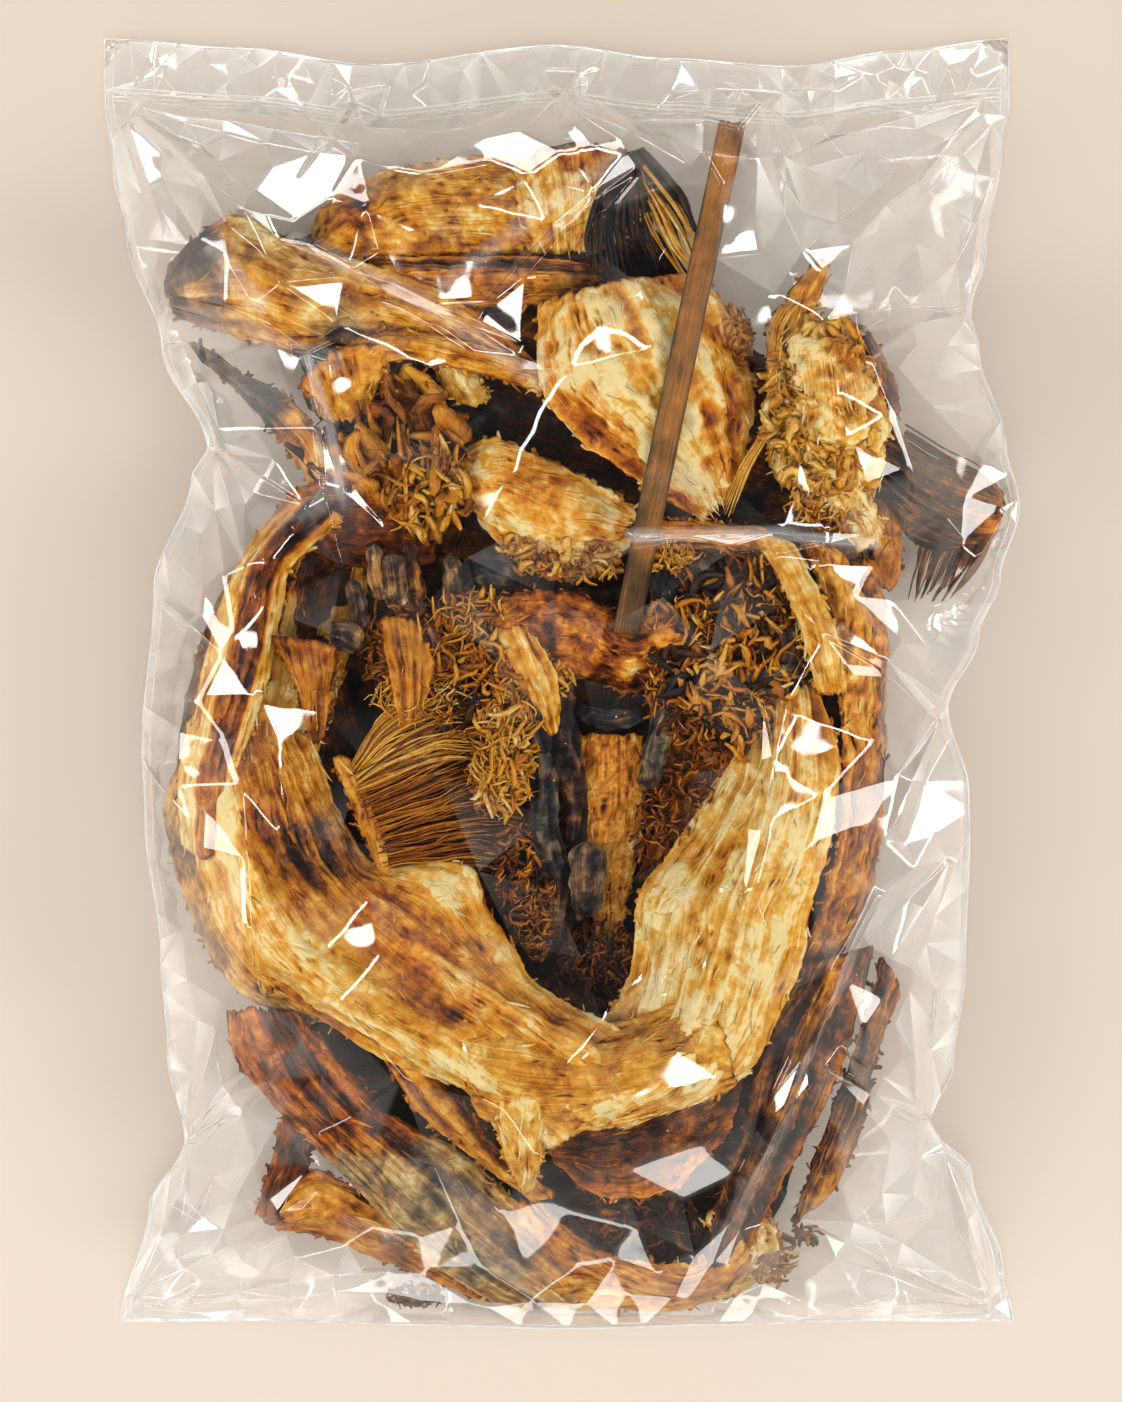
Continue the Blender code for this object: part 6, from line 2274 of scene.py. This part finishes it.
@dataclass(frozen=True)
class EdgeFinish:
    """Cut edges and zip ribs of the film: pale, half clear and glossy."""

    name: str = "film_edge"
    clear_share: float = 0.5

    def made(self) -> bpy.types.Material:
        """Builds the material."""
        material, tree = new_material(self.name)
        clear = node(tree, "ShaderNodeBsdfTransparent", {"Color": (0.99, 0.985, 0.975, 1)})
        shader = node(tree, "ShaderNodeBsdfPrincipled",
                      {"Base Color": (0.95, 0.93, 0.90, 1), "Roughness": 0.14})
        fine = node(tree, "ShaderNodeTexNoise",
                    {"Vector": node(tree, "ShaderNodeTexCoord").outputs["Object"], "Scale": 90.0,
                     "Detail": 2.0})
        share = node(tree, "ShaderNodeMapRange",
                     {"Value": fine.outputs[0], "From Min": 0.35, "From Max": 0.65,
                      "To Min": 1 - self.clear_share - 0.2,
                      "To Max": 1 - self.clear_share + 0.2}).outputs[0]
        mixed = node(tree, "ShaderNodeMixShader", {0: share, 1: clear.outputs[0], 2: shader.outputs[0]})
        node(tree, "ShaderNodeOutputMaterial", {"Surface": mixed.outputs[0]})
        return material


# ---------------------------------------------------------------- the studio


@dataclass
class SoftLight:
    """One rectangular light: where it is, what it looks at, its size and strength."""

    name: str
    place: Point
    target: Point
    size: tuple[float, float]
    watts: float
    colour: tuple[float, float, float] = WARM_WHITE
    in_gloss: bool = True
    in_diffuse: bool = True
    spread: float = 180.0

    def build(self) -> None:
        """Adds the light."""
        data = bpy.data.lights.new(self.name, "AREA")
        data.shape = "RECTANGLE"
        data.size, data.size_y = self.size
        data.energy = self.watts
        data.color = self.colour
        data.spread = math.radians(self.spread)
        lamp = bpy.data.objects.new(self.name, data)
        lamp.location = self.place
        lamp.rotation_euler = (Vector(self.target) - Vector(self.place)).to_track_quat("-Z", "Y").to_euler()
        lamp.visible_glossy = self.in_gloss
        lamp.visible_diffuse = self.in_diffuse
        lamp.visible_camera = False
        bpy.context.scene.collection.objects.link(lamp)


@dataclass
class Studio:
    """Pale warm floor, soft side boxes, an overcast sky, gloss cards and a camera that looks down."""

    height: float = 3.0
    sky: float = 1.6
    view_height: float = 0.4907
    centre: tuple[float, float] = (0.0007, -0.0072)
    floor_colour: tuple[float, float, float] = (0.80, 0.70, 0.605)
    lights: list[SoftLight] = field(default_factory=lambda: [
        SoftLight("left_box", (-1.25, -0.06, 0.80), (0, 0, 0.03), (0.40, 1.0), 4.7, in_gloss=False,
                  spread=105),
        SoftLight("right_box", (1.25, -0.08, 0.86), (0, 0, 0.03), (0.40, 1.0), 4.7, in_gloss=False,
                  spread=105),
        SoftLight("left_card", (-1.0, 0.10, 0.15), (0, 0, 0.05), (0.20, 1.3), 5.6, in_diffuse=False),
        SoftLight("right_card", (1.0, 0.05, 0.15), (0, 0, 0.05), (0.20, 1.3), 5.6, in_diffuse=False),
        SoftLight("head_card", (0.0, 1.1, 0.16), (0, 0, 0.05), (1.3, 0.20), 5.6, in_diffuse=False),
        SoftLight("foot_card", (0.0, -1.1, 0.13), (0, 0, 0.05), (1.0, 0.12), 1.6, in_diffuse=False),
        SoftLight("left_strip", (-0.62, -0.1, 0.95), (0, 0, 0.03), (0.08, 0.7), 2.2, in_diffuse=False),
        SoftLight("right_strip", (0.66, 0.1, 0.90), (0, 0, 0.03), (0.08, 0.7), 2.2, in_diffuse=False),
        SoftLight("left_high_strip", (-0.34, 0.45, 1.10), (0, 0, 0.03), (0.05, 0.4), 0.81,
                  in_diffuse=False),
        SoftLight("right_high_strip", (0.36, -0.45, 1.10), (0, 0, 0.03), (0.05, 0.4), 0.81,
                  in_diffuse=False),
        SoftLight("head_strip", (0.0, 0.95, 0.40), (0, 0, 0.03), (0.9, 0.10), 3.1, in_diffuse=False),
        SoftLight("head_high_strip", (0.3, 0.66, 0.95), (0, 0, 0.03), (0.5, 0.05), 0.99, in_diffuse=False),
        SoftLight("foot_high_strip", (-0.25, -0.66, 0.95), (0, 0, 0.03), (0.4, 0.05), 0.35,
                  in_diffuse=False),
    ])

    def build(self) -> None:
        """Builds the floor, the lights, the surroundings and the camera."""
        self.floor()
        for light in self.lights:
            light.build()
        self.overcast()
        self.surroundings()
        self.camera()
        bpy.context.scene.view_settings.view_transform = "Standard"
        paths = bpy.context.scene.cycles
        paths.max_bounces, paths.diffuse_bounces, paths.glossy_bounces = 3, 1, 1
        paths.caustics_reflective = paths.caustics_refractive = False
        paths.transparent_max_bounces = 8

    def overcast(self) -> None:
        """Adds the even soft light from above; it shows in no gloss."""
        data = bpy.data.lights.new("overcast", "SUN")
        data.energy, data.angle, data.color = self.sky, 1.1, WARM_WHITE
        lamp = bpy.data.objects.new("overcast", data)
        lamp.rotation_euler = (math.radians(24), 0, 0)
        lamp.visible_glossy = False
        bpy.context.scene.collection.objects.link(lamp)

    def floor(self) -> None:
        """Adds the floor, a wide sheet with a faint long undulation."""
        rows, size = 41, 6.0
        line = np.linspace(-size / 2, size / 2, rows)
        x, y = np.meshgrid(line, line)
        z = -0.0008 - 0.0004 * (1 + np.sin(x * 2.1) * np.cos(y * 1.7))
        z = np.where(np.hypot(x, y) < 0.7, -0.0006, z)
        mesh = bpy.data.meshes.new("studio_floor")
        points = np.stack([x, y, z], -1).reshape(-1, 3)
        mesh.from_pydata(points.tolist(), [], grid_faces(rows, rows).tolist())
        mesh.shade_smooth()
        material, tree = new_material("pale_floor")
        place = node(tree, "ShaderNodeTexCoord").outputs["Object"]
        cloud = node(tree, "ShaderNodeTexNoise", {"Vector": place, "Scale": 2.2, "Detail": 3.0}).outputs[0]
        # painted light fall-off: the floor is painted darker towards +Y, with a faint mottle
        far = tuple(channel * 0.93 for channel in self.floor_colour)
        depth = node(tree, "ShaderNodeSeparateXYZ", {0: place}).outputs["Y"]
        painted_falloff_and_mottle = node(tree, "ShaderNodeMapRange", {"Value": depth, "From Min": -0.3, "From Max": 0.3},
                    interpolation_type="SMOOTHSTEP").outputs[0]
        uneven = maths(tree, "MULTIPLY", maths(tree, "SUBTRACT", cloud, 0.5), 0.2)
        painted_falloff_and_mottle = maths(tree, "ADD", painted_falloff_and_mottle, uneven, clamp=True)
        colour = blended(tree, painted_falloff_and_mottle, (*self.floor_colour, 1), (*far, 1))
        shader = node(tree, "ShaderNodeBsdfPrincipled", {"Base Color": colour, "Roughness": 0.6,
                                                         "Specular IOR Level": 0.0})
        node(tree, "ShaderNodeOutputMaterial", {"Surface": shader.outputs[0]})
        mesh.materials.append(material)
        floor = bpy.data.objects.new("studio_floor", mesh)
        bpy.context.scene.collection.objects.link(floor)

    def surroundings(self) -> None:
        """Sets a soft warm world, pale at the sides and darker overhead."""
        world = bpy.data.worlds.new("soft_room")
        bpy.context.scene.world = world
        world.use_nodes = True
        tree = world.node_tree
        tree.nodes.clear()
        place = node(tree, "ShaderNodeTexCoord").outputs["Generated"]
        split = node(tree, "ShaderNodeSeparateXYZ", {0: place})
        colour = ramped(tree, maths(tree, "ABSOLUTE", split.outputs["Z"]),
                        [(0.0, (0.95, 0.89, 0.82)), (0.22, (0.46, 0.43, 0.39)), (0.45, (0.07, 0.065, 0.06)),
                         (1.0, (0.012, 0.011, 0.010))])
        back = node(tree, "ShaderNodeBackground", {"Color": colour, "Strength": 1.0})
        node(tree, "ShaderNodeOutputWorld", {"Surface": back.outputs[0]})

    def camera(self) -> None:
        """Adds the camera above the bag, with +Y up in the picture."""
        data = bpy.data.cameras.new("camera")
        data.sensor_fit = "VERTICAL"
        data.sensor_height = 36.0
        data.lens = 36.0 * (self.height - 0.03) / self.view_height
        camera = bpy.data.objects.new("camera", data)
        camera.location = (*self.centre, self.height)
        bpy.context.scene.collection.objects.link(camera)
        bpy.context.scene.camera = camera


def points_of(pieces: list[bpy.types.Object]) -> Array:
    """Every point of some pieces, in millimetres."""
    gathered = []
    for piece in pieces:
        count = len(piece.data.vertices)
        flat = np.empty(count * 3, np.float32)
        piece.data.vertices.foreach_get("co", flat)
        gathered.append(flat.reshape(-1, 3) / MM)
    return np.concatenate(gathered)


def main() -> None:
    """Builds the contents, the film over them and the studio, and reports each piece."""
    logging.basicConfig(level=logging.INFO, format="%(name)s: %(message)s")
    flesh = DriedFinish("dried_flesh").made()
    skin = DriedFinish("dried_skin", streaks=0.26, mottle=0.2, rough=(0.42, 0.7), coat=0.12).made()
    gills = DriedFinish("dried_gills", streaks=0.16, mottle=0.12, specks=0.4, rough=(0.34, 0.6),
                        coat=0.14, lift=0.05).made()
    stalks = DriedFinish("dried_stalks", streaks=0.2, mottle=0.22, specks=0.8, rough=(0.4, 0.65),
                         relief=0.7).made()
    contents = SplitHead(flesh, skin).build()
    contents += Gills(gills, stalks).build()
    contents += UpperPieces(flesh, skin).build()
    contents += LowerPieces(flesh, skin).build()
    contents.append(FlatSlat(SlatFinish().made()).build())
    bag = ClearFilm(FilmFinish("clear_crisp_film").made(), EdgeFinish().made())
    bag.press_down(contents)
    bag.build(points_of(contents))
    Studio().build()


if __name__ == "__main__":
    main()
